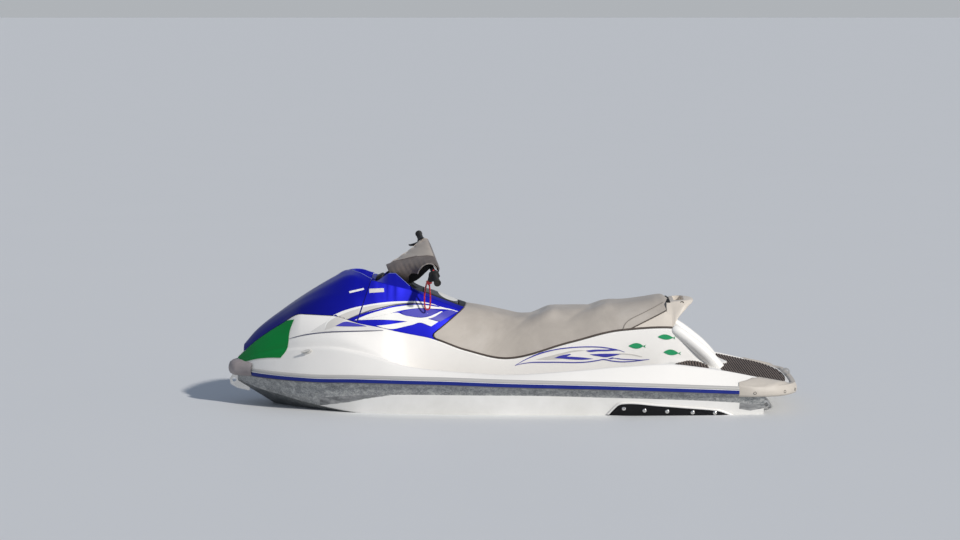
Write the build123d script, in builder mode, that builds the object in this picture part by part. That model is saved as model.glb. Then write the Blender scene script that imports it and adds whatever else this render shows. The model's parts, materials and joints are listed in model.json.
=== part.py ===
from build123d import *
import math
import os

os.makedirs("parts", exist_ok=True)

# A three-seat personal watercraft, millimetres.
# +X forward to the bow, +Y to port, +Z up. The origin is amidships on the centreline, at the still waterline.

# ---------------------------------------------------------------- driving sizes
LENGTH = 3220.0            # over the bow bumper and the stern bumper
BOW_X = 1555.0             # front of the hull and deck mouldings
TRANSOM_X = -1400.0        # back of the hull
PLATFORM_X = -1572.0       # back of the boarding platform, inside its bumper
KEEL_Z = -290.0            # draught
RAIL_H = 47.0              # height of the rubbing band
RAIL_T = 15.0              # how far it stands out
LID_GAP = 3.0              # seal gap under the hood and the seat
STEER_REST = 17.0          # the bars are turned this far to port
STEER_LOCK = 20.0          # each way from straight ahead
STEER_POINT = (462.0, 0.0, 836.0)       # middle of the grips' line, on the steering axis
STEER_TILT = 60.0          # steering axis from the vertical, top towards the rider
COLLAR_T = 215.0           # the collar under the bars, down the axis from STEER_POINT
BAR_R = 13.5
BAR_HALF = 410.0           # from the middle of the bars to each end
STEM_R = 20.0
CLIP = (42.0, 70.0, -34.0, -8.0)       # lanyard clip: distance down the steering axis from, to, and across it from, to
CORD_R = 5.0               # outer radius of the lanyard's curly cord
BAY_FLOOR = -150.0         # engine bay
TUNNEL_Y = 165.0           # half width of the pump tunnel
INTAKE_Y = 80.0            # half width of the water intake
PUMP_Z = -110.0            # height of the impeller's axis
PUMP_FRONT = -950.0
PUMP_R = 79.0              # bore of the pump
SHAFT_R = 14.0
NOZZLE_PIVOT_X = -1285.0
GATE_PIVOT_X = -1270.0
GATE_R = 150.0             # inside of the reversing gate's shell, from its pivot
GATE_Y = 103.0             # half width of the gate
PIN_R = 7.0
EYE_R = 12.0               # bore of the towing and mooring eyes
STERN_EYE_Y = 330.0
BIN = (885.0, 1165.0, 200.0, 225.0, 495.0)      # storage bin: x from, x to, half width, floor z, rim z
LID = (298.0, 492.0, 118.0)                    # glove box lid: x from, x to, half width
GLOVE = (392.0, 487.0, 113.0, 482.0, 545.0)    # glove box tub: x from, x to, half width, floor z, rim z

st, ct = math.sin(math.radians(STEER_TILT)), math.cos(math.radians(STEER_TILT))
sr, cr = math.sin(math.radians(STEER_REST)), math.cos(math.radians(STEER_REST))
# steering frame in the turned rest position: x along the bars to port, z up the steering axis
STEER = Plane(origin=STEER_POINT, x_dir=(-ct * sr, cr, -st * sr), z_dir=(-st, 0, ct))
AXIS = Plane(origin=STEER_POINT, x_dir=(0, 1, 0), z_dir=(-st, 0, ct))      # the same axis on the fixed side
PUMP_AXIS = Axis((0, 0, PUMP_Z), (1, 0, 0))
# the steering nozzle points its outlet to port with the bars
NOZZLE_SIDE = Plane(origin=(NOZZLE_PIVOT_X, 0, PUMP_Z), x_dir=(-cr, sr, 0), z_dir=(sr, cr, 0))
NOZZLE_LINE = Axis((NOZZLE_PIVOT_X, 0, PUMP_Z), (-cr, sr, 0))
GATE_ANGLES = [40 + 10 * k for k in range(8)]   # parked gate, degrees up from straight aft


def gate_at(radius, angle):
    a = math.radians(angle)
    return (GATE_PIVOT_X - radius * math.cos(a), PUMP_Z + radius * math.sin(a))


# ---------------------------------------------------------------- section tables
# hull: station x, keel z, chine y, chine z, knuckle y, knuckle z, sheer y, sheer z
HULL = [
    (1555, 126, 28, 138, 35, 150, 44, 172),
    (1450, 62, 112, 106, 128, 122, 160, 170),
    (1300, -30, 212, 76, 238, 102, 280, 168),
    (1110, -130, 310, 38, 342, 84, 388, 168),
    (850, -222, 396, -2, 438, 108, 480, 176),
    (450, -276, 444, -46, 506, 118, 545, 174),
    (0, -290, 462, -70, 534, 118, 570, 162),
    (-550, -290, 462, -80, 530, 105, 566, 148),
    (-1000, -290, 448, -85, 505, 88, 540, 130),
    (-1400, -290, 424, -90, 470, 62, 498, 110),
]
# deck: station x, shoulder y, z, floor outer y, z, floor inner y, z, top edge y, z
DECK = [
    (1555, 36, 236, 31, 246, 25, 255, 19, 262),
    (1450, 142, 285, 128, 308, 110, 335, 90, 361),
    (1300, 250, 326, 230, 372, 200, 420, 165, 466),
    (1180, 325, 346, 303, 402, 273, 468, 235, 533),
    (1000, 405, 360, 378, 412, 342, 472, 290, 530),
    (850, 455, 342, 425, 385, 378, 438, 315, 490),
    (720, 485, 312, 450, 330, 385, 392, 312, 465),
    (640, 498, 290, 462, 140, 332, 140, 306, 445),
    (470, 508, 264, 474, 108, 312, 106, 297, 410),
    (250, 518, 246, 482, 100, 302, 98, 290, 332),
    (30, 521, 234, 485, 98, 298, 96, 283, 285),
    (-330, 516, 255, 480, 104, 292, 102, 275, 374),
    (-620, 503, 279, 466, 128, 285, 126, 265, 442),
    (-850, 487, 292, 452, 246, 276, 246, 254, 456),
    (-930, 480, 290, 448, 270, 272, 270, 250, 452),
    (-1170, 452, 258, 428, 240, 270, 239, 250, 246),
    (-1400, 415, 206, 396, 197, 262, 195, 240, 198),
    (-1580, 380, 168, 360, 161, 250, 159, 230, 162),
]
# centre body, the hood, cowl and seat in one run: station x, middle y, z, crown y, z, top z; its foot is the deck's top edge
CENTRE = [
    (1520, 30, 318, 15, 332, 337),
    (1450, 66, 391, 34, 411, 418),
    (1300, 125, 504, 64, 528, 536),
    (1180, 188, 578, 98, 610, 619),
    (1000, 238, 628, 138, 706, 727),
    (910, 260, 628, 160, 744, 767),
    (850, 270, 612, 168, 712, 712),
    (760, 268, 598, 166, 694, 690),
    (720, 264, 592, 158, 758, 700),
    (640, 254, 580, 142, 764, 712),
    (570, 248, 570, 140, 672, 664),
    (470, 240, 548, 140, 640, 655),
    (250, 232, 460, 140, 562, 574),
    (180, 234, 436, 148, 550, 566),
    (30, 234, 408, 148, 518, 535),
    (-67, 230, 420, 146, 500, 518),
    (-150, 228, 438, 144, 510, 526),
    (-228, 225, 454, 142, 546, 566),
    (-330, 222, 470, 138, 546, 564),
    (-450, 218, 492, 134, 550, 567),
    (-528, 214, 508, 132, 576, 595),
    (-620, 210, 522, 128, 578, 597),
    (-750, 204, 536, 122, 594, 612),
    (-850, 198, 544, 116, 608, 626),
    (-905, 194, 530, 108, 572, 590),
]


def along(table, x, column):
    """a column of a table at x, on the straight line between its stations"""
    for a, b in zip(table, table[1:]):
        if b[0] <= x <= a[0]:
            t = (a[0] - x) / (a[0] - b[0])
            return a[column] + t * (b[column] - a[column])
    return table[0][column] if x > table[0][0] else table[-1][column]


def sheer_y(x):
    return along(HULL, max(x, TRANSOM_X), 6)


def sheer_z(x):
    return along(HULL, max(x, TRANSOM_X), 7)


def closed(half):
    """a whole outline from its port half, listed from the bottom to the top"""
    return [(y, z) for y, z in half] + [(-y, z) for y, z in reversed(half) if y > 0]


def stations(table, high, low):
    return [row for row in table if low <= row[0] <= high]


def centre_half(row, lift, inset=0.0, roof=0.0, foot_drop=0.0):
    x, my, mz, cy, cz, tz = row
    fy, fz = along(DECK, x, 7) - 2.0, along(DECK, x, 8) + lift
    return [
        (0, fz - foot_drop),
        (fy - inset, fz - foot_drop),
        (my - inset, mz - roof * 0.5),
        (cy - inset * 0.6, cz - roof),
        (0, tz - roof),
    ]



def skin(outlines):
    """a closed solid through whole outlines of (x, y, z) points, the same number in each, with flat facets"""
    faces = []

    def flat(*points):
        faces.append(Face(Wire.make_polygon([Vector(*p) for p in points], close=True)))

    for a, b in zip(outlines, outlines[1:]):
        n = len(a)
        for i in range(n):
            j = (i + 1) % n
            p, q, r, s = a[i], a[j], b[j], b[i]
            u, v, w = (Vector(*q) - Vector(*p), Vector(*r) - Vector(*p), Vector(*s) - Vector(*p))
            if abs(u.cross(v).dot(w)) < 1e-3:
                flat(p, q, r, s)
            elif (p[1] + q[1] + r[1] + s[1]) > 0:   # port side; starboard takes the mirrored diagonal
                flat(p, q, r)
                flat(p, r, s)
            else:
                flat(p, q, s)
                flat(q, r, s)
    flat(*outlines[0])
    flat(*outlines[-1])
    return Solid(Shell(faces))


def at(x, half):
    """a whole outline at station x"""
    return [(x, y, z) for y, z in closed(half)]


# ---------------------------------------------------------------- hull
def deck_low(x):
    """underside of the deck moulding inside the hull: it drops below the footwells"""
    floor = min(along(DECK, x, 4), along(DECK, x, 6))
    return min(sheer_z(x) - 12, floor - 15)


HULL_SKIN = skin([
    at(x, [(0, kz), (cy, cz), (ny, nz), (sy, sz), (0, sz)]) for x, kz, cy, cz, ny, nz, sy, sz in HULL
])
DECK_SKIN = skin([
    at(x, [(0, deck_low(x)), (max(along(HULL, max(x, TRANSOM_X), 4) - 26, 8), deck_low(x)),
           (sheer_y(x) - 18, sheer_z(x)), (sheer_y(x), sheer_z(x)), (sheer_y(x), sheer_z(x) + RAIL_H),
           (gy, gz), (oy, oz), (iy, iz), (ty, tz), (0, tz)])
    for x, gy, gz, oy, oz, iy, iz, ty, tz in DECK
])
with BuildPart() as hull_blank:
    add(HULL_SKIN)
    add(DECK_SKIN, mode=Mode.SUBTRACT)
with BuildPart() as hull:
    # the pieces cut loose inside the footwells are left out
    add(hull_blank.part.solids().sort_by(SortBy.VOLUME)[-1])
    # engine bay
    with BuildSketch(Plane.XY.offset(BAY_FLOOR)):
        with Locations((-185, 0)):
            Rectangle(870, 440)
    extrude(amount=400, mode=Mode.SUBTRACT)
    # pump tunnel
    with BuildSketch(Plane.XY.offset(KEEL_Z - 20)):
        with Locations(((PUMP_FRONT + TRANSOM_X - 20) / 2, 0)):
            Rectangle(PUMP_FRONT - TRANSOM_X + 20, 2 * TUNNEL_Y)
    extrude(amount=75 - KEEL_Z + 20, mode=Mode.SUBTRACT)
    # water intake, rising aft to the pump
    with BuildSketch(Plane.XZ):
        with BuildLine():
            Polyline((-430, -320), (-952, -32), (-952, -188), (-640, -320), close=True)
        make_face()
    extrude(amount=INTAKE_Y, both=True, mode=Mode.SUBTRACT)
    # drive shaft tunnel
    with BuildSketch(Plane.YZ.offset(-900)):
        with Locations((0, PUMP_Z)):
            Circle(20)
    extrude(amount=300, mode=Mode.SUBTRACT)

# ---------------------------------------------------------------- deck
with BuildPart() as deck:
    add(DECK_SKIN)
    # rounded corners of the boarding platform, seen from above
    with BuildSketch(Plane.XY.offset(-50)):
        with BuildLine():
            Polyline((1700, -700), (1700, 700), (-1330, 700), (-1330, 495), (-1440, 470))
            ThreePointArc((-1440, 470), (-1535, 385), (PLATFORM_X + 8, 250))
            ThreePointArc((PLATFORM_X + 8, 250), (PLATFORM_X, 0), (PLATFORM_X + 8, -250))
            ThreePointArc((PLATFORM_X + 8, -250), (-1535, -385), (-1440, -470))
            Polyline((-1440, -470), (-1330, -495), (-1330, -700), (1700, -700))
        make_face()
    extrude(amount=800, mode=Mode.INTERSECT)
    # opening over the engine, under the seat
    with BuildSketch(Plane.XY):
        with Locations((-205, 0)):
            Rectangle(810, 330)
    extrude(amount=700, mode=Mode.SUBTRACT)
    # well for the storage bin
    with BuildSketch(Plane.XY.offset(BIN[3])):
        with Locations(((BIN[0] + BIN[1]) / 2, 0)):
            Rectangle(BIN[1] - BIN[0] + 10, 2 * BIN[2] + 10)
    extrude(amount=500, mode=Mode.SUBTRACT)

# ---------------------------------------------------------------- rubbing band, both sides
with BuildPart() as rub_rail:
    for side in (1, -1):
        add(skin([
            [(x, side * y, z) for y, z in (
                (sheer_y(x), sheer_z(x)), (sheer_y(x) + RAIL_T, sheer_z(x) + 6),
                (sheer_y(x) + RAIL_T, sheer_z(x) + RAIL_H - 8), (sheer_y(x), sheer_z(x) + RAIL_H))]
            for x in [1490.0] + [row[0] for row in HULL if -1290 < row[0] < 1490] + [-1290.0]
        ]))

# ---------------------------------------------------------------- bow bumper
with BuildPart() as bow_bumper:
    with BuildSketch(Plane.XY.offset(160)):
        with BuildLine():
            Polyline((1470, -158), (1470, 158), (1545, 100))
            ThreePointArc((1545, 100), (1598, 52), (1610, 0))
            ThreePointArc((1610, 0), (1598, -52), (1545, -100))
            Polyline((1545, -100), (1470, -158))
        make_face()
    extrude(amount=110)
    # top slopes down to the nose, underside rises to it
    with BuildSketch(Plane.XZ):
        with BuildLine():
            Polyline((1460, 262), (1560, 256), (1612, 224), (1612, 198), (1580, 174), (1500, 166), (1460, 190), close=True)
        make_face()
    extrude(amount=300, both=True, mode=Mode.INTERSECT)
    add(DECK_SKIN, mode=Mode.SUBTRACT)
    add(HULL_SKIN, mode=Mode.SUBTRACT)
    add(rub_rail.part, mode=Mode.SUBTRACT)

# ---------------------------------------------------------------- stern bumper round the platform
with BuildPart() as stern_bumper:
    with BuildSketch(Plane.XY.offset(95)):
        with BuildLine():
            Polyline((-1292, 450), (-1292, 518), (-1345, 520), (-1440, 500))
            ThreePointArc((-1440, 500), (-1560, 405), (PLATFORM_X - 32, 250))
            ThreePointArc((PLATFORM_X - 32, 250), (-1610, 0), (PLATFORM_X - 32, -250))
            ThreePointArc((PLATFORM_X - 32, -250), (-1560, -405), (-1440, -500))
            Polyline((-1440, -500), (-1345, -520), (-1292, -518), (-1292, -450), (-1292, 450))
        make_face()
    extrude(amount=120)
    with BuildSketch(Plane.XZ):
        with BuildLine():
            Polyline((-1290, 116), (-1290, 160), (-1400, 164), (-1560, 162), (-1600, 158), (-1612, 150), (-1612, 122), (-1600, 112), (-1560, 106), (-1400, 104), (-1340, 110), close=True)
        make_face()
    extrude(amount=600, both=True, mode=Mode.INTERSECT)
    add(deck.part, mode=Mode.SUBTRACT)
    add(HULL_SKIN, mode=Mode.SUBTRACT)
    add(rub_rail.part, mode=Mode.SUBTRACT)

# ---------------------------------------------------------------- sponsons low on the hull sides
# station x, top z, bottom z, standing out at the top, standing out at the bottom
SPONSON = [
    (-600, 66, 30, 4, 4),
    (-640, 74, -52, 12, 30),
    (-900, 50, -62, 14, 38),
    (-1180, 24, -66, 14, 38),
    (-1235, 14, -40, 6, 16),
]


def side_y(x, z):
    """hull side between the chine and the knuckle"""
    cy, cz, ny, nz = (along(HULL, x, c) for c in (2, 3, 4, 5))
    return cy + (z - cz) / (nz - cz) * (ny - cy)


with BuildPart() as sponsons:
    for side in (1, -1):
        add(skin([
            [(x, side * y, z) for y, z in (
                (side_y(x, top) - 12, top), (side_y(x, top) + out_t, top - 4),
                (side_y(x, low) + out_b, low + 10), (side_y(x, low) + out_b - 8, low), (side_y(x, low) - 12, low))]
            for x, top, low, out_t, out_b in SPONSON
        ]))
    add(HULL_SKIN, mode=Mode.SUBTRACT)

# ---------------------------------------------------------------- engine, a plain block on the bay floor
with BuildPart() as engine_block:
    with BuildSketch(Plane.XY.offset(BAY_FLOOR)):
        with Locations((-125, 0)):
            Rectangle(550, 300)
    extrude(amount=250)
    with BuildSketch(Plane.XY.offset(BAY_FLOOR + 250)):
        with Locations((-125, 0)):
            Rectangle(460, 200)
    extrude(amount=100)
    # output bore for the drive shaft
    with BuildSketch(Plane.YZ.offset(-400)):
        with Locations((0, PUMP_Z)):
            Circle(SHAFT_R + 3)
    extrude(amount=45, mode=Mode.SUBTRACT)

# ---------------------------------------------------------------- storage bin under the hood
with BuildPart() as storage_bin:
    with BuildSketch(Plane.XY.offset(BIN[3])):
        with Locations(((BIN[0] + BIN[1]) / 2, 0)):
            Rectangle(BIN[1] - BIN[0], 2 * BIN[2])
    extrude(amount=BIN[4] - BIN[3])
    with BuildSketch(Plane.XY.offset(BIN[3] + 6)):
        with Locations(((BIN[0] + BIN[1]) / 2, 0)):
            Rectangle(BIN[1] - BIN[0] - 12, 2 * BIN[2] - 12)
    extrude(amount=BIN[4] - BIN[3], mode=Mode.SUBTRACT)

# ---------------------------------------------------------------- hood, cowl and seat, cut from one centre body
SEAM = ((760, 800), (868, 480))                # hood to cowl, side view
SEAT_LINE = ((505, 375), (216, 600))           # cowl to seat, side view
TAIL_LINE = ((-640, 437), (-960, 585))         # seat to its tail, side view


def side_plane(line, gap):
    """the plane through a side-view line, moved by gap along its normal, which points aft"""
    (x0, z0), (x1, z1) = line
    d = Vector(x1 - x0, 0, z1 - z0).normalized()
    n = Vector(d.Z, 0, -d.X)
    if n.X > 0:
        n = n * -1
    return Plane(origin=Vector(x0, 0, z0) + n * gap, x_dir=(0, 1, 0), z_dir=n)


hood_rows = stations(CENTRE, 1520, 760)
with BuildPart() as hood:
    add(skin([at(r[0], centre_half(r, LID_GAP)) for r in hood_rows]))
    # hollow under the lid
    inner = [r for r in hood_rows if r[0] <= 1450]
    add(skin([at(r[0], centre_half(r, LID_GAP, inset=22, roof=20, foot_drop=8)) for r in inner]), mode=Mode.SUBTRACT)
    split(bisect_by=side_plane(SEAM, -4), keep=Keep.BOTTOM)

def crown_z(x, y):
    """top of the centre body at y, between the middle line and the crown"""
    return along(CENTRE, x, 5) + (along(CENTRE, x, 4) - along(CENTRE, x, 5)) * y / along(CENTRE, x, 3)


def dash(lift):
    """the dash panel ahead of the glove box lid, its top raised by lift"""
    return skin([
        at(x, [(0, along(CENTRE, x, 5) - 26), (132, crown_z(x, 132) - 26), (132, crown_z(x, 132) + lift), (0, along(CENTRE, x, 5) + lift)])
        for x in (562, 500)
    ])


with BuildPart() as console:
    add(dash(0.0))
    with BuildSketch(AXIS.offset(-COLLAR_T)):
        Circle(122)
    extrude(amount=270, mode=Mode.SUBTRACT)

cowl_rows = stations(CENTRE, 910, 180)
with BuildPart() as cowl:
    add(skin([at(r[0], centre_half(r, 0.0)) for r in cowl_rows]))
    split(bisect_by=side_plane(SEAM, 4), keep=Keep.TOP)
    split(bisect_by=side_plane(SEAT_LINE, -3), keep=Keep.BOTTOM)
    # room for the bars' cover to turn
    with BuildSketch(AXIS.offset(-COLLAR_T)):
        Circle(122)
    extrude(amount=270, mode=Mode.SUBTRACT)
    # pocket for the steering bracket
    with BuildSketch(AXIS.offset(-COLLAR_T - 40)):
        Circle(36)
    extrude(amount=60, mode=Mode.SUBTRACT)
    # recess for the glove box lid, then the well for its tub
    add(skin([
        at(x, [(0, along(CENTRE, x, 5) - 28), (LID[2] + 6, along(CENTRE, x, 5) - 60), (LID[2] + 6, along(CENTRE, x, 5) + 40), (0, along(CENTRE, x, 5) + 40)])
        for x in (LID[1] + 6, 470, LID[0] - 6)
    ]), mode=Mode.SUBTRACT)
    with BuildSketch(Plane.XY.offset(GLOVE[3])):
        with Locations(((GLOVE[0] + GLOVE[1]) / 2, 0)):
            Rectangle(GLOVE[1] - GLOVE[0] + 8, 2 * GLOVE[2] + 8)
    extrude(amount=200, mode=Mode.SUBTRACT)
    add(dash(40.0), mode=Mode.SUBTRACT)

with BuildPart() as steering_bracket:
    with BuildSketch(AXIS.offset(-COLLAR_T - 40)):
        Circle(36)
        Circle(STEM_R + 3, mode=Mode.SUBTRACT)
    extrude(amount=40)

with BuildPart() as gauge_pod:
    add(skin([
        at(x, [(0, 640), (92, 640), (100, 700), (88, top - 6), (0, top)])
        for x, top in ((770, 730), (735, 748), (702, 744))
    ]))
    add(cowl.part, mode=Mode.SUBTRACT)

with BuildPart() as glove_box:
    with BuildSketch(Plane.XY.offset(GLOVE[3])):
        with Locations(((GLOVE[0] + GLOVE[1]) / 2, 0)):
            Rectangle(GLOVE[1] - GLOVE[0], 2 * GLOVE[2])
    extrude(amount=GLOVE[4] - GLOVE[3])
    with BuildSketch(Plane.XY.offset(GLOVE[3] + 4)):
        with Locations(((GLOVE[0] + GLOVE[1]) / 2, 0)):
            Rectangle(GLOVE[1] - GLOVE[0] - 8, 2 * GLOVE[2] - 8)
    extrude(amount=GLOVE[4] - GLOVE[3], mode=Mode.SUBTRACT)


with BuildPart() as glove_box_lid:
    add(skin([
        at(x, [(0, along(CENTRE, x, 5) - 22), (LID[2], crown_z(x, LID[2]) - 22), (LID[2], crown_z(x, LID[2])), (0, along(CENTRE, x, 5))])
        for x in (LID[1], 470, LID[0])
    ]))

seat_rows = stations(CENTRE, 570, -905)
with BuildPart() as seat:
    add(skin([at(r[0], centre_half(r, LID_GAP)) for r in seat_rows]))
    split(bisect_by=side_plane(SEAT_LINE, 3), keep=Keep.TOP)
    # the tail piece takes the lower aft corner
    with BuildSketch(Plane.XZ):
        with BuildLine():
            Polyline(TAIL_LINE[0], TAIL_LINE[1], (-960, 300), (-640, 300), close=True)
        make_face()
    extrude(amount=400, both=True, mode=Mode.SUBTRACT)

with BuildPart() as seat_tail:
    add(skin([at(r[0], centre_half(r, LID_GAP)) for r in seat_rows if r[0] <= -528]))
    with BuildSketch(Plane.XZ):
        with BuildLine():
            Polyline(TAIL_LINE[0], TAIL_LINE[1], (-960, 300), (-640, 300), close=True)
        make_face()
    extrude(amount=400, both=True, mode=Mode.INTERSECT)

with BuildPart() as grab_handle:
    with BuildSketch(Plane.XZ):
        with BuildLine():
            Polyline((-905, 604), (-977, 611), (-1023, 606), (-1036, 588), (-1017, 552), (-967, 521), (-905, 500), close=True)
        make_face()
    extrude(amount=250, both=True)
    # rounded loop, seen from above, with a gap for the fingers
    with BuildSketch(Plane.XY.offset(400)):
        with BuildLine():
            Polyline((-905, -185), (-905, 185), (-960, 180))
            ThreePointArc((-960, 180), (-1012, 140), (-1036, 60))
            Line((-1036, 60), (-1036, -60))
            ThreePointArc((-1036, -60), (-1012, -140), (-960, -180))
            Line((-960, -180), (-905, -185))
        make_face()
        with Locations((-958, 0)):
            RectangleRounded(62, 240, 24, mode=Mode.SUBTRACT)
    extrude(amount=300, mode=Mode.INTERSECT)

# ---------------------------------------------------------------- mats
with BuildPart() as footwell_mats:
    for side in (1, -1):
        add(skin([
            [(x, side * y, z) for y, z in (
                (along(DECK, x, 5) + 8, along(DECK, x, 6) - 6), (along(DECK, x, 3) - 8, along(DECK, x, 4) - 6),
                (along(DECK, x, 3) - 8, along(DECK, x, 4) + 5), (along(DECK, x, 5) + 8, along(DECK, x, 6) + 5))]
            for x in [600.0] + [row[0] for row in DECK if -1000 < row[0] < 600] + [-1110.0]
        ]))
    add(deck.part, mode=Mode.SUBTRACT)

with BuildPart() as platform_mat:
    add(skin([
        at(x, [(0, along(DECK, x, 8) - 8), (along(DECK, x, 3) - 14, along(DECK, x, 4) - 8),
               (along(DECK, x, 3) - 14, along(DECK, x, 4) + 5), (along(DECK, x, 5), along(DECK, x, 6) + 5),
               (along(DECK, x, 7), along(DECK, x, 8) + 5), (0, along(DECK, x, 8) + 5)])
        for x in (-1170.0, -1400.0, -1548.0)
    ]))
    with BuildSketch(Plane.XY):
        with BuildLine():
            Polyline((-1172, -400), (-1172, 400), (-1420, 388))
            ThreePointArc((-1420, 388), (-1500, 325), (-1536, 215))
            ThreePointArc((-1536, 215), (-1546, 0), (-1536, -215))
            ThreePointArc((-1536, -215), (-1500, -325), (-1420, -388))
            Line((-1420, -388), (-1172, -400))
        make_face()
    extrude(amount=500, mode=Mode.INTERSECT)
    add(deck.part, mode=Mode.SUBTRACT)

# ---------------------------------------------------------------- underwater fittings
with BuildPart() as intake_grate:
    for y in (-54, -27, 0, 27, 54):
        low = KEEL_Z + 3 + abs(y) * 0.4545
        with BuildSketch(Plane.XY.offset(low)):
            with Locations((-590, y)):
                Rectangle(330, 8)
        extrude(amount=14)
    for x in (-535, -655):
        with BuildSketch(Plane.YZ.offset(x)):
            with BuildLine():
                Polyline((-92, -245), (0, -287), (92, -245), (92, -231), (0, -273), (-92, -231), close=True)
            make_face()
        extrude(amount=10)
    add(hull.part, mode=Mode.SUBTRACT)

with BuildPart() as ride_plate:
    with BuildSketch(Plane.YZ.offset(TRANSOM_X - 18)):
        with BuildLine():
            Polyline((-TUNNEL_Y, -213), (0, -286), (TUNNEL_Y, -213), (TUNNEL_Y, -201), (0, -272), (-TUNNEL_Y, -201), close=True)
        make_face()
    extrude(amount=PUMP_FRONT - TRANSOM_X + 18)

with BuildPart() as pump_housing:
    with BuildSketch(Plane.XZ):
        with BuildLine():
            Polyline((PUMP_FRONT, PUMP_Z + PUMP_R), (PUMP_FRONT, PUMP_Z + 110), (PUMP_FRONT - 10, PUMP_Z + 110),
                     (PUMP_FRONT - 10, PUMP_Z + 95), (PUMP_FRONT - 210, PUMP_Z + 95), (PUMP_FRONT - 210, PUMP_Z + 110),
                     (PUMP_FRONT - 220, PUMP_Z + 110), (PUMP_FRONT - 220, PUMP_Z + PUMP_R), close=True)
        make_face()
    revolve(axis=PUMP_AXIS)

with BuildPart() as nozzle_housing:
    with BuildSketch(Plane.XZ):
        with BuildLine():
            Polyline((-1170, PUMP_Z + PUMP_R), (-1170, PUMP_Z + 110), (-1180, PUMP_Z + 110), (-1180, PUMP_Z + 91),
                     (-1245, PUMP_Z + 44), (-1285, PUMP_Z + 44), (-1285, PUMP_Z + 39), (-1243, PUMP_Z + 39), close=True)
        make_face()
    revolve(axis=PUMP_AXIS)
    # centre body and its vanes
    with BuildSketch(Plane.XZ):
        with BuildLine():
            Polyline((-1104, PUMP_Z), (-1104, PUMP_Z + 26), (-1170, PUMP_Z + 26), (-1228, PUMP_Z + 8), (-1228, PUMP_Z), close=True)
        make_face()
    revolve(axis=PUMP_AXIS)
    for k in range(5):
        with BuildSketch(Plane(origin=(-1170, 0, PUMP_Z), x_dir=(0, math.cos(k * 2 * math.pi / 5), math.sin(k * 2 * math.pi / 5)), z_dir=(-1, 0, 0))):
            with Locations((54, 0)):
                Rectangle(64, 5)
        extrude(amount=22)
    # ears over and under the steering nozzle
    for up in (1, -1):
        with BuildSketch(Plane.XY.offset(PUMP_Z + up * 76 - 4)):
            with Locations((-1241, 0)):
                Rectangle(112, 30)
            with Locations((NOZZLE_PIVOT_X, 0)):
                Circle(PIN_R + 2, mode=Mode.SUBTRACT)
        extrude(amount=8)
    # arms that carry the reversing gate
    for side in (1, -1):
        with BuildSketch(Plane.XZ.offset(-side * 84 + 4)):
            with Locations((-1230, PUMP_Z)):
                Rectangle(120, 32)
            with Locations((GATE_PIVOT_X, PUMP_Z)):
                Circle(PIN_R + 2, mode=Mode.SUBTRACT)
        extrude(amount=-8)

with BuildPart() as steering_nozzle:
    with BuildSketch(NOZZLE_SIDE):
        with BuildLine():
            Polyline((-8, 58), (-8, 66), (115, 50), (115, 42), close=True)
        make_face()
    revolve(axis=NOZZLE_LINE)
    for up in (1, -1):
        with BuildSketch(Plane.XY.offset(PUMP_Z + up * 62)):
            with Locations((NOZZLE_PIVOT_X, 0)):
                Circle(PIN_R)
        extrude(amount=up * 20)

with BuildPart() as reverse_gate:
    # shell and its two side arms, parked up
    with BuildSketch(Plane.XZ.offset(-GATE_Y)):
        with BuildLine():
            Polyline([gate_at(GATE_R + 6, a) for a in GATE_ANGLES] + [gate_at(GATE_R, a) for a in reversed(GATE_ANGLES)], close=True)
        make_face()
    extrude(amount=2 * GATE_Y)
    for side in (1, -1):
        with BuildSketch(Plane.XZ.offset(-side * (GATE_Y - 3) + 3)):
            with BuildLine():
                Polyline([gate_at(GATE_R + 6, a) for a in GATE_ANGLES] + [gate_at(20, GATE_ANGLES[-1] + 70), gate_at(20, GATE_ANGLES[0] - 70)], close=True)
            make_face()
        extrude(amount=-6)
        with BuildSketch(Plane.XZ.offset(-side * 80)):
            with Locations((GATE_PIVOT_X, PUMP_Z)):
                Circle(PIN_R)
        extrude(amount=-side * 20)

with BuildPart() as impeller:
    with BuildSketch(Plane.YZ.offset(-1092)):
        with Locations((0, PUMP_Z)):
            Circle(28)
    extrude(amount=90)
    for k in range(3):
        turn = k * 2 * math.pi / 3
        radial = Vector(0, math.cos(turn), math.sin(turn))
        across = Vector(1, 0, 0) * math.cos(0.9) + Vector(0, -math.sin(turn), math.cos(turn)) * math.sin(0.9)
        with BuildSketch(Plane(origin=(-1047, 0, PUMP_Z), x_dir=across, z_dir=radial)):
            Rectangle(84, 5)
        extrude(amount=90)
    with BuildSketch(Plane.YZ.offset(-1092)):
        with Locations((0, PUMP_Z)):
            Circle(PUMP_R - 5)
    extrude(amount=90, mode=Mode.INTERSECT)
    with BuildSketch(Plane.YZ.offset(-1082)):
        with Locations((0, PUMP_Z)):
            Circle(SHAFT_R)
    extrude(amount=90, mode=Mode.SUBTRACT)

with BuildPart() as drive_shaft:
    with BuildSketch(Plane.YZ.offset(-1082)):
        with Locations((0, PUMP_Z)):
            Circle(SHAFT_R)
    extrude(amount=1082 - 365)

# ---------------------------------------------------------------- eyes, cleats, cap and plugs
with BuildPart() as bow_eye:
    with BuildSketch(Plane.XZ.offset(-6)):
        with BuildLine():
            Polyline((1490, 70), (1560, 86), (1598, 108), (1604, 140), (1588, 164), (1530, 164), (1490, 110), close=True)
        make_face()
        with Locations((1578, 134)):
            Circle(EYE_R, mode=Mode.SUBTRACT)
    extrude(amount=12)
    add(HULL_SKIN, mode=Mode.SUBTRACT)
    add(bow_bumper.part, mode=Mode.SUBTRACT)

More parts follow.
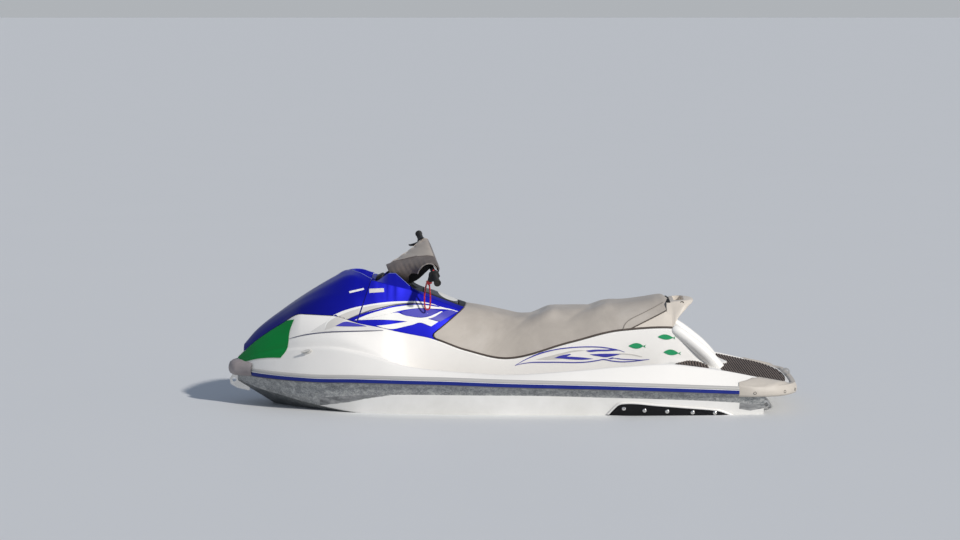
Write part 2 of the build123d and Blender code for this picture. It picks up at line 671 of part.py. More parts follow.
with BuildPart() as stern_eyes:
    for side in (1, -1):
        with BuildSketch(Plane.XZ.offset(-side * STERN_EYE_Y - 5)):
            with BuildLine():
                Polyline((TRANSOM_X, 8), (TRANSOM_X, 66), (TRANSOM_X - 34, 60), (TRANSOM_X - 48, 37), (TRANSOM_X - 34, 14), close=True)
            make_face()
            with Locations((TRANSOM_X - 27, 37)):
                Circle(EYE_R, mode=Mode.SUBTRACT)
        extrude(amount=10)

with BuildPart() as tow_eye:
    with BuildSketch(Plane.XZ.offset(-5)):
        with Locations((-1574, 178)):
            Circle(22)
            Circle(EYE_R, mode=Mode.SUBTRACT)
    extrude(amount=10)
    add(deck.part, mode=Mode.SUBTRACT)
    add(stern_bumper.part, mode=Mode.SUBTRACT)

with BuildPart() as bow_cleats:
    for side in (1, -1):
        with BuildSketch(Plane.XZ.offset(-side * 326 - 7)):
            with BuildLine():
                Polyline((1120, 330), (1122, 366), (1136, 374), (1200, 366), (1214, 352), (1216, 320), close=True)
            make_face()
        extrude(amount=14)
    add(deck.part, mode=Mode.SUBTRACT)

with BuildPart() as fuel_cap:
    with BuildSketch(Plane(origin=(930, -366, 412), x_dir=(1, 0, 0), z_dir=(0, -0.805, 0.593))):
        Circle(40)
    extrude(amount=34)
    add(deck.part, mode=Mode.SUBTRACT)

with BuildPart() as drain_plugs:
    with BuildSketch(Plane.YZ.offset(TRANSOM_X)):
        with Locations((250, -110), (-250, -110)):
            Circle(18)
    extrude(amount=-12)

# ---------------------------------------------------------------- steering bars, in the turned rest position
BAR_T = 10.0                                   # the bar's axis is this far below STEER_POINT along the axis
# cover: distance below STEER_POINT, half width, lowest and highest offset across the axis
COVER = [(238, 50, 60, 76), (206, 80, 30, 76), (200, 86, -66, 75), (120, 125, -65, 70), (50, 200, -50, 60), (0, 270, -38, 48), (-30, 262, -20, 30)]
BAR_LINE = Plane(origin=STEER.from_local_coords((0, 0, -BAR_T)), x_dir=STEER.z_dir, z_dir=STEER.x_dir)


def bars_at(t, y, n):
    """a point given by its distance down the axis, to port and across, in the turned position"""
    p = STEER.from_local_coords(Vector(y, -n, -t))
    return (p.X, p.Y, p.Z)


with BuildPart() as handlebar:
    with BuildSketch(BAR_LINE.offset(-BAR_HALF)):
        Circle(BAR_R)
    extrude(amount=2 * BAR_HALF)

with BuildPart() as steering_stem:
    with BuildSketch(STEER.offset(-COLLAR_T - 35)):
        Circle(STEM_R)
    extrude(amount=COLLAR_T + 35 - BAR_T)
    add(handlebar.part, mode=Mode.SUBTRACT)

with BuildPart() as handlebar_cover:
    add(skin([
        [bars_at(t, y, n) for y, n in closed([(0, low), (0.72 * w, low), (w, 0.5 * (low + high)), (0.78 * w, high - 8), (0, high)])]
        for t, w, low, high in COVER
    ]))
    add(handlebar.part, mode=Mode.SUBTRACT)
    add(steering_stem.part, mode=Mode.SUBTRACT)
    # open underneath round the stem
    with BuildSketch(STEER.offset(-205)):
        Circle(50)
        Circle(STEM_R, mode=Mode.SUBTRACT)
    extrude(amount=120, mode=Mode.SUBTRACT)

with BuildPart() as grips:
    for side in (1, -1):
        with BuildSketch(BAR_LINE.offset(side * 298)):
            Circle(17)
            Circle(BAR_R, mode=Mode.SUBTRACT)
        extrude(amount=side * (BAR_HALF - 298))
        with BuildSketch(BAR_LINE.offset(side * BAR_HALF)):
            Circle(20)
        extrude(amount=side * 8)

with BuildPart() as throttle_lever:
    with BuildSketch(BAR_LINE.offset(-294)):
        Circle(24)
        Circle(BAR_R, mode=Mode.SUBTRACT)
    extrude(amount=20)
    # lever ahead of the grip
    add(skin([
        [bars_at(BAR_T + d + a, y, b) for a, b in ((-6, -7), (6, -7), (6, 7), (-6, 7))]
        for y, d in ((-276, 24), (-290, 48), (-330, 54), (-372, 46))
    ]))
    add(handlebar.part, mode=Mode.SUBTRACT)

with BuildPart() as switch_housing:
    # round the bar at the grip's root, reaching forward and down to the lanyard clip
    with BuildSketch(BAR_LINE.offset(274)):
        with BuildLine():
            Polyline((24, -22), (28, 0), (22, 22), (2, 29), (-22, 24), (-34, 6), (-46, -6), (-46, -20), (-30, -26), (-6, -31), close=True)
        make_face()
        Circle(BAR_R, mode=Mode.SUBTRACT)
    extrude(amount=22)

with BuildPart() as lanyard_clip:
    with BuildSketch(BAR_LINE.offset(276)):
        with Locations((BAR_T - (CLIP[0] + CLIP[1]) / 2, (CLIP[2] + CLIP[3]) / 2)):
            Rectangle(CLIP[1] - CLIP[0], CLIP[3] - CLIP[2])
    extrude(amount=18)
    add(switch_housing.part, mode=Mode.SUBTRACT)

# the lanyard's route in an upright plane under the clip: both ends go into the clip
CORD_Y = bars_at(CLIP[1], 285, CLIP[2])[1] + 6
ROUTE = [(459, 716), (453, 668), (451.5, 612), (456, 563), (481, 563), (486, 612), (483.5, 668), (471, 722)]
radii = []
for a, b, c in zip(ROUTE, ROUTE[1:], ROUTE[2:]):
    u, w = Vector(b[0] - a[0], b[1] - a[1]), Vector(c[0] - b[0], c[1] - b[1])
    radii.append(0.45 * min(u.length, w.length) / math.tan(math.radians(u.get_angle(w)) / 2))
print("lanyard radii", [round(r, 1) for r in radii])
with BuildPart() as cord_blank:
    with BuildLine(Plane.XZ.offset(-CORD_Y)) as cord_path:
        FilletPolyline(*ROUTE, radius=radii)
    with BuildSketch(Plane(origin=cord_path.line @ 0, z_dir=cord_path.line % 0)):
        Circle(CORD_R)
    sweep(path=cord_path.line)
    cord_length = sum(e.length for e in cord_path.edges())
    print("lanyard length", round(cord_length, 1), "volume over section times length", round(cord_blank.part.volume / (math.pi * CORD_R**2 * cord_length), 4))
    add(lanyard_clip.part, mode=Mode.SUBTRACT)
    add(switch_housing.part, mode=Mode.SUBTRACT)

with BuildPart() as lanyard_cord:
    add(cord_blank.part.solids().sort_by(SortBy.VOLUME)[-1])

# ---------------------------------------------------------------- export
for name, part in (
    ("hull", hull), ("deck", deck), ("rub_rail", rub_rail), ("bow_bumper", bow_bumper), ("stern_bumper", stern_bumper),
    ("sponsons", sponsons), ("engine_block", engine_block), ("storage_bin", storage_bin), ("hood", hood), ("cowl", cowl),
    ("steering_bracket", steering_bracket), ("console", console), ("gauge_pod", gauge_pod), ("glove_box", glove_box),
    ("glove_box_lid", glove_box_lid), ("seat", seat), ("seat_tail", seat_tail), ("grab_handle", grab_handle),
    ("footwell_mats", footwell_mats), ("platform_mat", platform_mat), ("intake_grate", intake_grate),
    ("ride_plate", ride_plate), ("pump_housing", pump_housing), ("nozzle_housing", nozzle_housing),
    ("steering_nozzle", steering_nozzle), ("reverse_gate", reverse_gate), ("impeller", impeller),
    ("drive_shaft", drive_shaft), ("bow_eye", bow_eye), ("stern_eyes", stern_eyes), ("tow_eye", tow_eye),
    ("bow_cleats", bow_cleats), ("fuel_cap", fuel_cap), ("drain_plugs", drain_plugs), ("handlebar", handlebar),
    ("steering_stem", steering_stem), ("handlebar_cover", handlebar_cover), ("grips", grips),
    ("throttle_lever", throttle_lever), ("switch_housing", switch_housing), ("lanyard_clip", lanyard_clip),
    ("lanyard_cord", lanyard_cord),
):
    part.part.label = name
    export_step(part.part, f"parts/{name}.step")
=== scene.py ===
import bpy, bmesh, json, math
import numpy as np
from mathutils import Vector, Matrix
from mathutils.bvhtree import BVHTree
from mathutils.geometry import delaunay_2d_cdt

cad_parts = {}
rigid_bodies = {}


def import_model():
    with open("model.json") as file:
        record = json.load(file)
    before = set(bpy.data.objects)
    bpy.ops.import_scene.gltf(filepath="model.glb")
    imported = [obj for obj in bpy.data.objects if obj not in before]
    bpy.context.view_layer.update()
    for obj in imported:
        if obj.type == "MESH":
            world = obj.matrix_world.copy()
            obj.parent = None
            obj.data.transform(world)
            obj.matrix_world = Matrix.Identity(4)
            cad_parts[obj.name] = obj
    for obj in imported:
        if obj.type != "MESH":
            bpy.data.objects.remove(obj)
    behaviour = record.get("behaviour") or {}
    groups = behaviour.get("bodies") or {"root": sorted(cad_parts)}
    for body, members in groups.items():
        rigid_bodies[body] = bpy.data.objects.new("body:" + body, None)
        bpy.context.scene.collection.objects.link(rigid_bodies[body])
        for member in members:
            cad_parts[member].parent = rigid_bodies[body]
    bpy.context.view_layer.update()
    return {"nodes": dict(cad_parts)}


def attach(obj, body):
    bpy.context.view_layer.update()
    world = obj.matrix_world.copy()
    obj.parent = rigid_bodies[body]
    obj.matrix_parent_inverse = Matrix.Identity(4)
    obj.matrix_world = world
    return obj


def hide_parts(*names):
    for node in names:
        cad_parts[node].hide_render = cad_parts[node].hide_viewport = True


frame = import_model()
MM = 0.001

# ------------------------------------------------------------------ camera
W, H = 960.0, 540.0
FOCAL = 2675.0                      # pixels
CAM = Vector((0.1740, 15.16, 2.205))
PITCH = math.radians(5.44)
cam_data = bpy.data.cameras.new("view")
cam_data.sensor_width = 36.0
cam_data.lens = FOCAL / W * 36.0
cam_data.clip_end = 6000.0
cam = bpy.data.objects.new("view", cam_data)
bpy.context.collection.objects.link(cam)
cam.location = CAM
FORWARD = Vector((0, -math.cos(PITCH), -math.sin(PITCH)))
cam.rotation_euler = FORWARD.to_track_quat("-Z", "Y").to_euler()
bpy.context.scene.camera = cam
RIGHT = Vector((-1, 0, 0))
UP = RIGHT.cross(FORWARD)


def pixel_ray(u, v):
    d = FORWARD * FOCAL + RIGHT * (u - W / 2) - UP * (v - H / 2)
    return d.normalized()


# ------------------------------------------------------------------ node materials
def new_mat(name):
    m = bpy.data.materials.new(name)
    m.use_nodes = True
    return m, m.node_tree.nodes, m.node_tree.links, m.node_tree.nodes["Principled BSDF"]


def ramp(nodes, stops):
    r = nodes.new("ShaderNodeValToRGB")
    while len(r.color_ramp.elements) > 1:
        r.color_ramp.elements.remove(r.color_ramp.elements[-1])
    first = True
    for pos, c in stops:
        c = (c, c, c) if isinstance(c, (int, float)) else c
        if first:
            e = r.color_ramp.elements[0]
            e.position = pos
            first = False
        else:
            e = r.color_ramp.elements.new(pos)
        e.color = (c[0], c[1], c[2], 1)
    return r


def object_coords(nodes, links, scale=(1, 1, 1)):
    tc = nodes.new("ShaderNodeTexCoord")
    mp = nodes.new("ShaderNodeMapping")
    mp.inputs["Scale"].default_value = scale
    links.new(tc.outputs["Object"], mp.inputs["Vector"])
    return mp.outputs["Vector"]


def noise(nodes, links, vec, scale, detail=4.0, rough=0.55, distortion=0.0):
    n = nodes.new("ShaderNodeTexNoise")
    n.inputs["Scale"].default_value = scale
    n.inputs["Detail"].default_value = detail
    n.inputs["Roughness"].default_value = rough
    n.inputs["Distortion"].default_value = distortion
    links.new(vec, n.inputs["Vector"])
    return n.outputs["Fac"]


def mix_color(nodes, links, fac, a, b, mode="MIX"):
    m = nodes.new("ShaderNodeMix")
    m.data_type = "RGBA"
    m.blend_type = mode
    m.clamp_factor = True
    for key, val in (("Factor", fac), ("A", a), ("B", b)):
        sock = [s for s in m.inputs if s.name == key and (key == "Factor" and s.type == "VALUE" or key != "Factor" and s.type == "RGBA")][0]
        if isinstance(val, bpy.types.NodeSocket):
            links.new(val, sock)
        elif isinstance(val, (int, float)):
            sock.default_value = val
        else:
            sock.default_value = (val[0], val[1], val[2], 1)
    return [s for s in m.outputs if s.type == "RGBA"][0]


def math_node(nodes, links, op, a, b=None, clamp=False):
    m = nodes.new("ShaderNodeMath")
    m.operation = op
    m.use_clamp = clamp
    for i, val in enumerate((a, b)):
        if val is None:
            continue
        if isinstance(val, bpy.types.NodeSocket):
            links.new(val, m.inputs[i])
        else:
            m.inputs[i].default_value = val
    return m.outputs[0]


def add_bump(nodes, links, bsdf, height, strength, distance):
    b = nodes.new("ShaderNodeBump")
    b.inputs["Strength"].default_value = strength
    b.inputs["Distance"].default_value = distance
    links.new(height, b.inputs["Height"])
    prev = bsdf.inputs["Normal"].links[0].from_socket if bsdf.inputs["Normal"].links else None
    if prev is not None:
        links.new(prev, b.inputs["Normal"])
    links.new(b.outputs["Normal"], bsdf.inputs["Normal"])


def gelcoat(name, color, dark, rough=0.22, coat=0.6, dirt=0.25, speck=0.0, wave=0.0004):
    """glossy moulded gelcoat: large faint cloudiness, fine dust, a little orange peel"""
    m, nodes, links, bsdf = new_mat(name)
    vec = object_coords(nodes, links)
    big = noise(nodes, links, vec, 2.2, 5, 0.6, 0.3)
    fine = noise(nodes, links, vec, 38.0, 6, 0.7)
    r1 = ramp(nodes, [(0.38, 0.0), (0.72, 1.0)])
    links.new(big, r1.inputs[0])
    r2 = ramp(nodes, [(0.52, 0.0), (0.8, 1.0)])
    links.new(fine, r2.inputs[0])
    both = math_node(nodes, links, "MULTIPLY", r1.outputs[0], r2.outputs[0])
    tint = math_node(nodes, links, "MULTIPLY", both, dirt)
    base = mix_color(nodes, links, tint, color, dark)
    shade = math_node(nodes, links, "MULTIPLY", r1.outputs[0], 0.10)
    base = mix_color(nodes, links, shade, base, dark)
    links.new(base, bsdf.inputs["Base Color"])
    rr = math_node(nodes, links, "ADD", math_node(nodes, links, "MULTIPLY", fine, 0.12), rough - 0.05)
    links.new(rr, bsdf.inputs["Roughness"])
    bsdf.inputs["Coat Weight"].default_value = coat
    bsdf.inputs["Coat Roughness"].default_value = 0.06
    peel = noise(nodes, links, vec, 14.0, 2, 0.5)
    add_bump(nodes, links, bsdf, peel, 0.10, wave)
    return m


def scuffed(name, base, light, dark, rough=0.45, sx=14.0):
    """gelcoat worn along the waterline: blotches, streaks and pale scratches"""
    m, nodes, links, bsdf = new_mat(name)
    vec = object_coords(nodes, links, (sx, 9.0, 40.0))
    vec2 = object_coords(nodes, links, (9.0, 9.0, 9.0))
    n1 = noise(nodes, links, vec2, 3.2, 8, 0.72, 0.8)
    n2 = noise(nodes, links, vec, 1.6, 8, 0.75, 1.6)
    wave = nodes.new("ShaderNodeTexWave")
    wave.wave_type = "BANDS"
    wave.bands_direction = "DIAGONAL"
    wave.inputs["Scale"].default_value = 26.0
    wave.inputs["Distortion"].default_value = 14.0
    wave.inputs["Detail"].default_value = 5.0
    wave.inputs["Detail Scale"].default_value = 2.4
    links.new(object_coords(nodes, links), wave.inputs["Vector"])
    r1 = ramp(nodes, [(0.30, dark), (0.5, base), (0.72, light)])
    links.new(n1, r1.inputs[0])
    r2 = ramp(nodes, [(0.50, 0.0), (0.68, 1.0)])
    links.new(n2, r2.inputs[0])
    r3 = ramp(nodes, [(0.86, 0.0), (0.99, 1.0)])
    links.new(wave.outputs["Fac"], r3.inputs[0])
    c = mix_color(nodes, links, math_node(nodes, links, "MULTIPLY", r2.outputs[0], 0.6), r1.outputs[0], dark)
    c = mix_color(nodes, links, math_node(nodes, links, "MULTIPLY", r3.outputs[0], 0.5), c, light)
    links.new(c, bsdf.inputs["Base Color"])
    rr = math_node(nodes, links, "ADD", math_node(nodes, links, "MULTIPLY", n1, 0.3), rough - 0.15)
    links.new(rr, bsdf.inputs["Roughness"])
    add_bump(nodes, links, bsdf, n1, 0.25, 0.0012)
    return m


def plastic(name, color, rough=0.5, grain=240.0, bump=0.25, fade=(0.12, 0.12, 0.12), fade_amount=0.25, spec=0.5):
    """moulded plastic with a fine grain and patchy sun fading"""
    m, nodes, links, bsdf = new_mat(name)
    vec = object_coords(nodes, links)
    big = noise(nodes, links, vec, 7.0, 5, 0.6, 0.4)
    r = ramp(nodes, [(0.35, 0.0), (0.75, 1.0)])
    links.new(big, r.inputs[0])
    base = mix_color(nodes, links, math_node(nodes, links, "MULTIPLY", r.outputs[0], fade_amount), color, fade)
    links.new(base, bsdf.inputs["Base Color"])
    fine = noise(nodes, links, vec, grain, 3, 0.6)
    rr = math_node(nodes, links, "ADD", math_node(nodes, links, "MULTIPLY", big, 0.2), rough - 0.1)
    links.new(rr, bsdf.inputs["Roughness"])
    bsdf.inputs["Specular IOR Level"].default_value = spec
    add_bump(nodes, links, bsdf, fine, bump, 0.0006)
    return m


def vinyl(name, color, dark, light, grain=420.0, rough=0.48, stain=0.35):
    """marine vinyl: leather grain in small cells, soft mottling, darker along the grain's sunken cell edges"""
    m, nodes, links, bsdf = new_mat(name)
    vec = object_coords(nodes, links)
    v = nodes.new("ShaderNodeTexVoronoi")
    v.feature = "DISTANCE_TO_EDGE"
    v.inputs["Scale"].default_value = grain
    links.new(vec, v.inputs["Vector"])
    big = noise(nodes, links, vec, 3.2, 6, 0.62, 0.5)
    mid = noise(nodes, links, vec, 17.0, 5, 0.6)
    r1 = ramp(nodes, [(0.36, dark), (0.52, color), (0.70, light)])
    links.new(big, r1.inputs[0])
    c = mix_color(nodes, links, stain, color, r1.outputs[0])
    r2 = ramp(nodes, [(0.55, 0.0), (0.8, 1.0)])
    links.new(mid, r2.inputs[0])
    c = mix_color(nodes, links, math_node(nodes, links, "MULTIPLY", r2.outputs[0], 0.22), c, dark)
    re = ramp(nodes, [(0.0, 0.0), (0.12, 1.0)])
    links.new(v.outputs["Distance"], re.inputs[0])
    c = mix_color(nodes, links, math_node(nodes, links, "MULTIPLY", math_node(nodes, links, "SUBTRACT", 1.0, re.outputs[0]), 0.25), c, dark)
    links.new(c, bsdf.inputs["Base Color"])
    rr = math_node(nodes, links, "ADD", math_node(nodes, links, "MULTIPLY", mid, 0.18), rough - 0.08)
    links.new(rr, bsdf.inputs["Roughness"])
    bsdf.inputs["Sheen Weight"].default_value = 0.12
    bsdf.inputs["Sheen Roughness"].default_value = 0.5
    add_bump(nodes, links, bsdf, re.outputs[0], 0.22, 0.0005)
    add_bump(nodes, links, bsdf, mid, 0.18, 0.0012)
    return m


def metal(name, color, rough=0.3, brushed=True, tint=(0.35, 0.33, 0.30), spots=0.3):
    m, nodes, links, bsdf = new_mat(name)
    vec = object_coords(nodes, links, (1, 1, 1))
    big = noise(nodes, links, vec, 18.0, 6, 0.7)
    streak = noise(nodes, links, object_coords(nodes, links, (400, 12, 400) if brushed else (90, 90, 90)), 1.0, 3, 0.6)
    r = ramp(nodes, [(0.45, 0.0), (0.75, 1.0)])
    links.new(big, r.inputs[0])
    c = mix_color(nodes, links, math_node(nodes, links, "MULTIPLY", r.outputs[0], spots), color, tint)
    links.new(c, bsdf.inputs["Base Color"])
    bsdf.inputs["Metallic"].default_value = 1.0
    rr = math_node(nodes, links, "ADD", math_node(nodes, links, "MULTIPLY", streak, 0.25), rough - 0.1)
    links.new(rr, bsdf.inputs["Roughness"])
    add_bump(nodes, links, bsdf, streak, 0.12, 0.0004)
    return m


def cast(name, color, dark, rough=0.5):
    m, nodes, links, bsdf = new_mat(name)
    vec = object_coords(nodes, links)
    big = noise(nodes, links, vec, 9.0, 6, 0.65, 0.3)
    fine = noise(nodes, links, vec, 160.0, 4, 0.6)
    r = ramp(nodes, [(0.35, color), (0.7, dark)])
    links.new(big, r.inputs[0])
    links.new(r.outputs[0], bsdf.inputs["Base Color"])
    bsdf.inputs["Metallic"].default_value = 0.6
    rr = math_node(nodes, links, "ADD", math_node(nodes, links, "MULTIPLY", big, 0.25), rough - 0.1)
    links.new(rr, bsdf.inputs["Roughness"])
    add_bump(nodes, links, bsdf, fine, 0.35, 0.0008)
    return m


def ribbed_mat(name, color, dark, pitch, axis_scale=(1, 0, 0)):
    """foam mat: fine pores and ingrained dirt; its ribs are modelled"""
    m, nodes, links, bsdf = new_mat(name)
    vec = object_coords(nodes, links)
    big = noise(nodes, links, vec, 5.0, 6, 0.7, 0.4)
    fine = noise(nodes, links, vec, 300.0, 3, 0.6)
    r = ramp(nodes, [(0.35, dark), (0.7, color)])
    links.new(big, r.inputs[0])
    r2 = ramp(nodes, [(0.35, 0.0), (0.65, 1.0)])
    links.new(fine, r2.inputs[0])
    c = mix_color(nodes, links, math_node(nodes, links, "MULTIPLY", r2.outputs[0], 0.3), r.outputs[0], dark)
    links.new(c, bsdf.inputs["Base Color"])
    bsdf.inputs["Roughness"].default_value = 0.85
    add_bump(nodes, links, bsdf, fine, 0.5, 0.0008)
    return m


WHITE = gelcoat("white_gelcoat", (0.84, 0.82, 0.79), (0.55, 0.53, 0.49), 0.38, 0.12, 0.18)
WHITE.node_tree.nodes["Principled BSDF"].inputs["Specular IOR Level"].default_value = 0.32
WHITE_SOFT = gelcoat("white_buttress", (0.86, 0.845, 0.815), (0.55, 0.53, 0.49), 0.45, 0.10, 0.30)
WHITE_LOW = gelcoat("white_gelcoat_lower", (0.80, 0.79, 0.77), (0.42, 0.41, 0.38), 0.3, 0.4, 0.55)
BLUE = gelcoat("blue_gloss", (0.004, 0.006, 0.48), (0.002, 0.002, 0.16), 0.36, 0.30, 0.30)
BLUE.node_tree.nodes["Principled BSDF"].inputs["Metallic"].default_value = 0.55
BLUE.node_tree.nodes["Principled BSDF"].inputs["Specular IOR Level"].default_value = 0.28
# painted shade: the hood's blue is darkened towards the nose, where its front is turned from the sun
BLUE_HOOD_NOSE_SHADE = gelcoat("blue_hood_nose_shade", (0.004, 0.006, 0.48), (0.002, 0.002, 0.16), 0.36, 0.30, 0.30)
hood_nodes, hood_links = BLUE_HOOD_NOSE_SHADE.node_tree.nodes, BLUE_HOOD_NOSE_SHADE.node_tree.links
hood_bsdf = hood_nodes["Principled BSDF"]
hood_bsdf.inputs["Metallic"].default_value = 0.55
hood_bsdf.inputs["Specular IOR Level"].default_value = 0.28
hood_xyz = hood_nodes.new("ShaderNodeSeparateXYZ")
hood_links.new(object_coords(hood_nodes, hood_links), hood_xyz.inputs[0])
hood_nose_shade_map = hood_nodes.new("ShaderNodeMapRange")
hood_nose_shade_map.inputs["From Min"].default_value = 0.86
hood_nose_shade_map.inputs["From Max"].default_value = 1.20
hood_nose_shade_map.inputs["To Min"].default_value = 0.0
hood_nose_shade_map.inputs["To Max"].default_value = 0.62
hood_links.new(hood_xyz.outputs[0], hood_nose_shade_map.inputs["Value"])
hood_links.new(mix_color(hood_nodes, hood_links, hood_nose_shade_map.outputs[0], hood_bsdf.inputs["Base Color"].links[0].from_socket, (0.001, 0.0015, 0.06)), hood_bsdf.inputs["Base Color"])
# a paler blue used as a painted highlight along the visor's and wings' rims
BLUE_RIM_HIGHLIGHT = gelcoat("blue_rim_highlight", (0.22, 0.26, 0.62), (0.06, 0.07, 0.30), 0.22, 0.5, 0.30)
SCUFF = scuffed("hull_scuffed", (0.27, 0.28, 0.285), (0.60, 0.60, 0.58), (0.11, 0.118, 0.125))


def side_white():
    """white lower side whose forward part is worn grey above a slanting line"""
    m, nodes, links, bsdf = new_mat("hull_side")
    vec = object_coords(nodes, links)
    sep = nodes.new("ShaderNodeSeparateXYZ")
    links.new(vec, sep.inputs[0])
    edge = math_node(nodes, links, "ADD", math_node(nodes, links, "MULTIPLY", sep.outputs[0], -0.200), 0.243)
    wob = math_node(nodes, links, "MULTIPLY", math_node(nodes, links, "SUBTRACT", noise(nodes, links, vec, 9.0, 4, 0.6), 0.5), 0.014)
    d = math_node(nodes, links, "SUBTRACT", math_node(nodes, links, "ADD", sep.outputs[2], wob), edge)
    front = math_node(nodes, links, "MULTIPLY", d, 220.0, True)
    aft = math_node(nodes, links, "MULTIPLY", math_node(nodes, links, "SUBTRACT", math_node(nodes, links, "MULTIPLY", sep.outputs[0], -1.0), math_node(nodes, links, "ADD", 1.262, wob)), 260.0, True)
    bowl = math_node(nodes, links, "ABSOLUTE", math_node(nodes, links, "ADD", sep.outputs[0], 1.325))
    low = math_node(nodes, links, "SUBTRACT", 0.034, math_node(nodes, links, "MULTIPLY", math_node(nodes, links, "SUBTRACT", 0.075, bowl), 0.18))
    above = math_node(nodes, links, "MULTIPLY", math_node(nodes, links, "SUBTRACT", sep.outputs[2], low), 400.0, True)
    mask = math_node(nodes, links, "MAXIMUM", front, math_node(nodes, links, "MULTIPLY", aft, above))
    n1 = noise(nodes, links, object_coords(nodes, links, (0.5, 1, 1.6)), 26.0, 6, 0.7, 0.4)
    rg = ramp(nodes, [(0.34, (0.12, 0.125, 0.13)), (0.52, (0.24, 0.245, 0.25)), (0.72, (0.46, 0.46, 0.45))])
    links.new(n1, rg.inputs[0])
    n2 = noise(nodes, links, vec, 3.0, 5, 0.6, 0.2)
    rw = ramp(nodes, [(0.30, (0.74, 0.73, 0.70)), (0.6, (0.86, 0.85, 0.83))])
    links.new(n2, rw.inputs[0])
    links.new(mix_color(nodes, links, mask, rw.outputs[0], rg.outputs[0]), bsdf.inputs["Base Color"])
    links.new(math_node(nodes, links, "ADD", math_node(nodes, links, "MULTIPLY", mask, 0.22), 0.26), bsdf.inputs["Roughness"])
    bsdf.inputs["Coat Weight"].default_value = 0.3
    bsdf.inputs["Coat Roughness"].default_value = 0.08
    return m


HULL_SIDE = side_white()
# the bottom below the chine: a dark grey that is partly its own grey, partly painted shade on its downward faces
HULL_BOTTOM_SHADE = scuffed("hull_bottom_grey_and_shade", (0.10, 0.11, 0.115), (0.24, 0.24, 0.24), (0.03, 0.035, 0.04), 0.5)
GREEN = gelcoat("green_panel", (0.002, 0.225, 0.042), (0.002, 0.075, 0.02), 0.38, 0.06, 0.3)
GREEN.node_tree.nodes["Principled BSDF"].inputs["Specular IOR Level"].default_value = 0.14
PALE_EDGE = gelcoat("panel_border", (0.80, 0.84, 0.76), (0.5, 0.52, 0.46), 0.3, 0.3, 0.2)
STRIPE_WHITE = gelcoat("stripe_white", (0.84, 0.83, 0.80), (0.5, 0.5, 0.48), 0.3, 0.4, 0.2)
STRIPE_VIOLET = gelcoat("stripe_violet", (0.055, 0.050, 0.42), (0.02, 0.02, 0.16), 0.3, 0.5, 0.2)
STRIPE_GREY = gelcoat("stripe_grey", (0.60, 0.58, 0.55), (0.36, 0.35, 0.34), 0.38, 0.2, 0.2)
# a pale grey for painted shade on the deck below the hood's edge
HOOD_EDGE_SHADE = gelcoat("bow_tint_grey", (0.70, 0.685, 0.66), (0.5, 0.49, 0.47), 0.38, 0.2, 0.2)
STRIPE_LINE = gelcoat("stripe_line", (0.07, 0.07, 0.13), (0.03, 0.03, 0.05), 0.35, 0.3, 0.2)
STRIPE_BLUE = gelcoat("stripe_blue", (0.03, 0.03, 0.36), (0.01, 0.01, 0.14), 0.3, 0.5, 0.2)
RAIL_GREY = plastic("rail_grey", (0.30, 0.30, 0.31), 0.5, 180, 0.15, (0.45, 0.45, 0.45), 0.4)
RAIL_DARK = plastic("rail_dark", (0.10, 0.10, 0.11), 0.5, 180, 0.2, (0.3, 0.3, 0.3), 0.4)
RAIL_PALE = plastic("rail_pale", (0.44, 0.43, 0.42), 0.45, 180, 0.12, (0.45, 0.45, 0.43), 0.4)
RAIL_BLUE = plastic("rail_blue", (0.006, 0.016, 0.19), 0.42, 200, 0.10, (0.015, 0.035, 0.24), 0.4, 0.3)
BUMPER_GREY = plastic("bumper_grey", (0.26, 0.225, 0.225), 0.6, 120, 0.4, (0.42, 0.38, 0.38), 0.7)
BUMPER_PALE = plastic("bumper_pale", (0.545, 0.50, 0.445), 0.55, 120, 0.3, (0.42, 0.38, 0.33), 0.5)
BLACK = plastic("black_plastic", (0.010, 0.010, 0.011), 0.5, 260, 0.3, (0.028, 0.028, 0.03), 0.5, 0.3)
BLACK_WET = plastic("black_wet", (0.006, 0.006, 0.007), 0.30, 60, 0.15, (0.014, 0.014, 0.015), 0.4, 0.35)
BLACK_WET.node_tree.nodes["Principled BSDF"].inputs["Specular IOR Level"].default_value = 0.15
BLACK_WET.node_tree.nodes["Principled BSDF"].inputs["Coat Weight"].default_value = 0.05
CLEAT_WHITE = plastic("cleat_white", (0.66, 0.64, 0.60), 0.42, 200, 0.15, (0.40, 0.36, 0.32), 0.5)
BLACK_GLOSS = plastic("black_gloss", (0.012, 0.012, 0.014), 0.22, 120, 0.08, (0.04, 0.04, 0.045), 0.4)
LENS = plastic("gauge_lens", (0.02, 0.024, 0.028), 0.08, 30, 0.0, (0.05, 0.06, 0.06), 0.3, 0.7)
MAT = ribbed_mat("mat_brown", (0.20, 0.155, 0.132), (0.12, 0.092, 0.078), 0.01)
# a near-black copy of the mat for the rib sides and grooves: painted shade
MAT_GROOVE_SHADE = ribbed_mat("mat_groove", (0.030, 0.022, 0.018), (0.014, 0.010, 0.008), 0.01)
CAST = cast("cast_alloy", (0.45, 0.46, 0.47), (0.22, 0.22, 0.22))
PAINTED = cast("painted_alloy", (0.06, 0.065, 0.07), (0.025, 0.027, 0.03))
STEEL = metal("stainless", (0.72, 0.71, 0.69), 0.22)
BRONZE = metal("impeller_steel", (0.62, 0.61, 0.58), 0.28, False)
# painted light: the handlebar cover's one cloth in a shaded tone and a sunlit tone
COVER_SHADED = vinyl("cover_shaded_tone", (0.125, 0.100, 0.088), (0.06, 0.048, 0.043), (0.24, 0.20, 0.18), 380, 0.5, 0.7)
COVER_SUNLIT = vinyl("cover_sunlit_tone", (0.375, 0.325, 0.28), (0.25, 0.21, 0.18), (0.50, 0.45, 0.39), 380, 0.5, 0.5)
SEAT = vinyl("seat_vinyl", (0.432, 0.390, 0.345), (0.34, 0.305, 0.27), (0.54, 0.50, 0.455), 420, 0.5, 0.6)
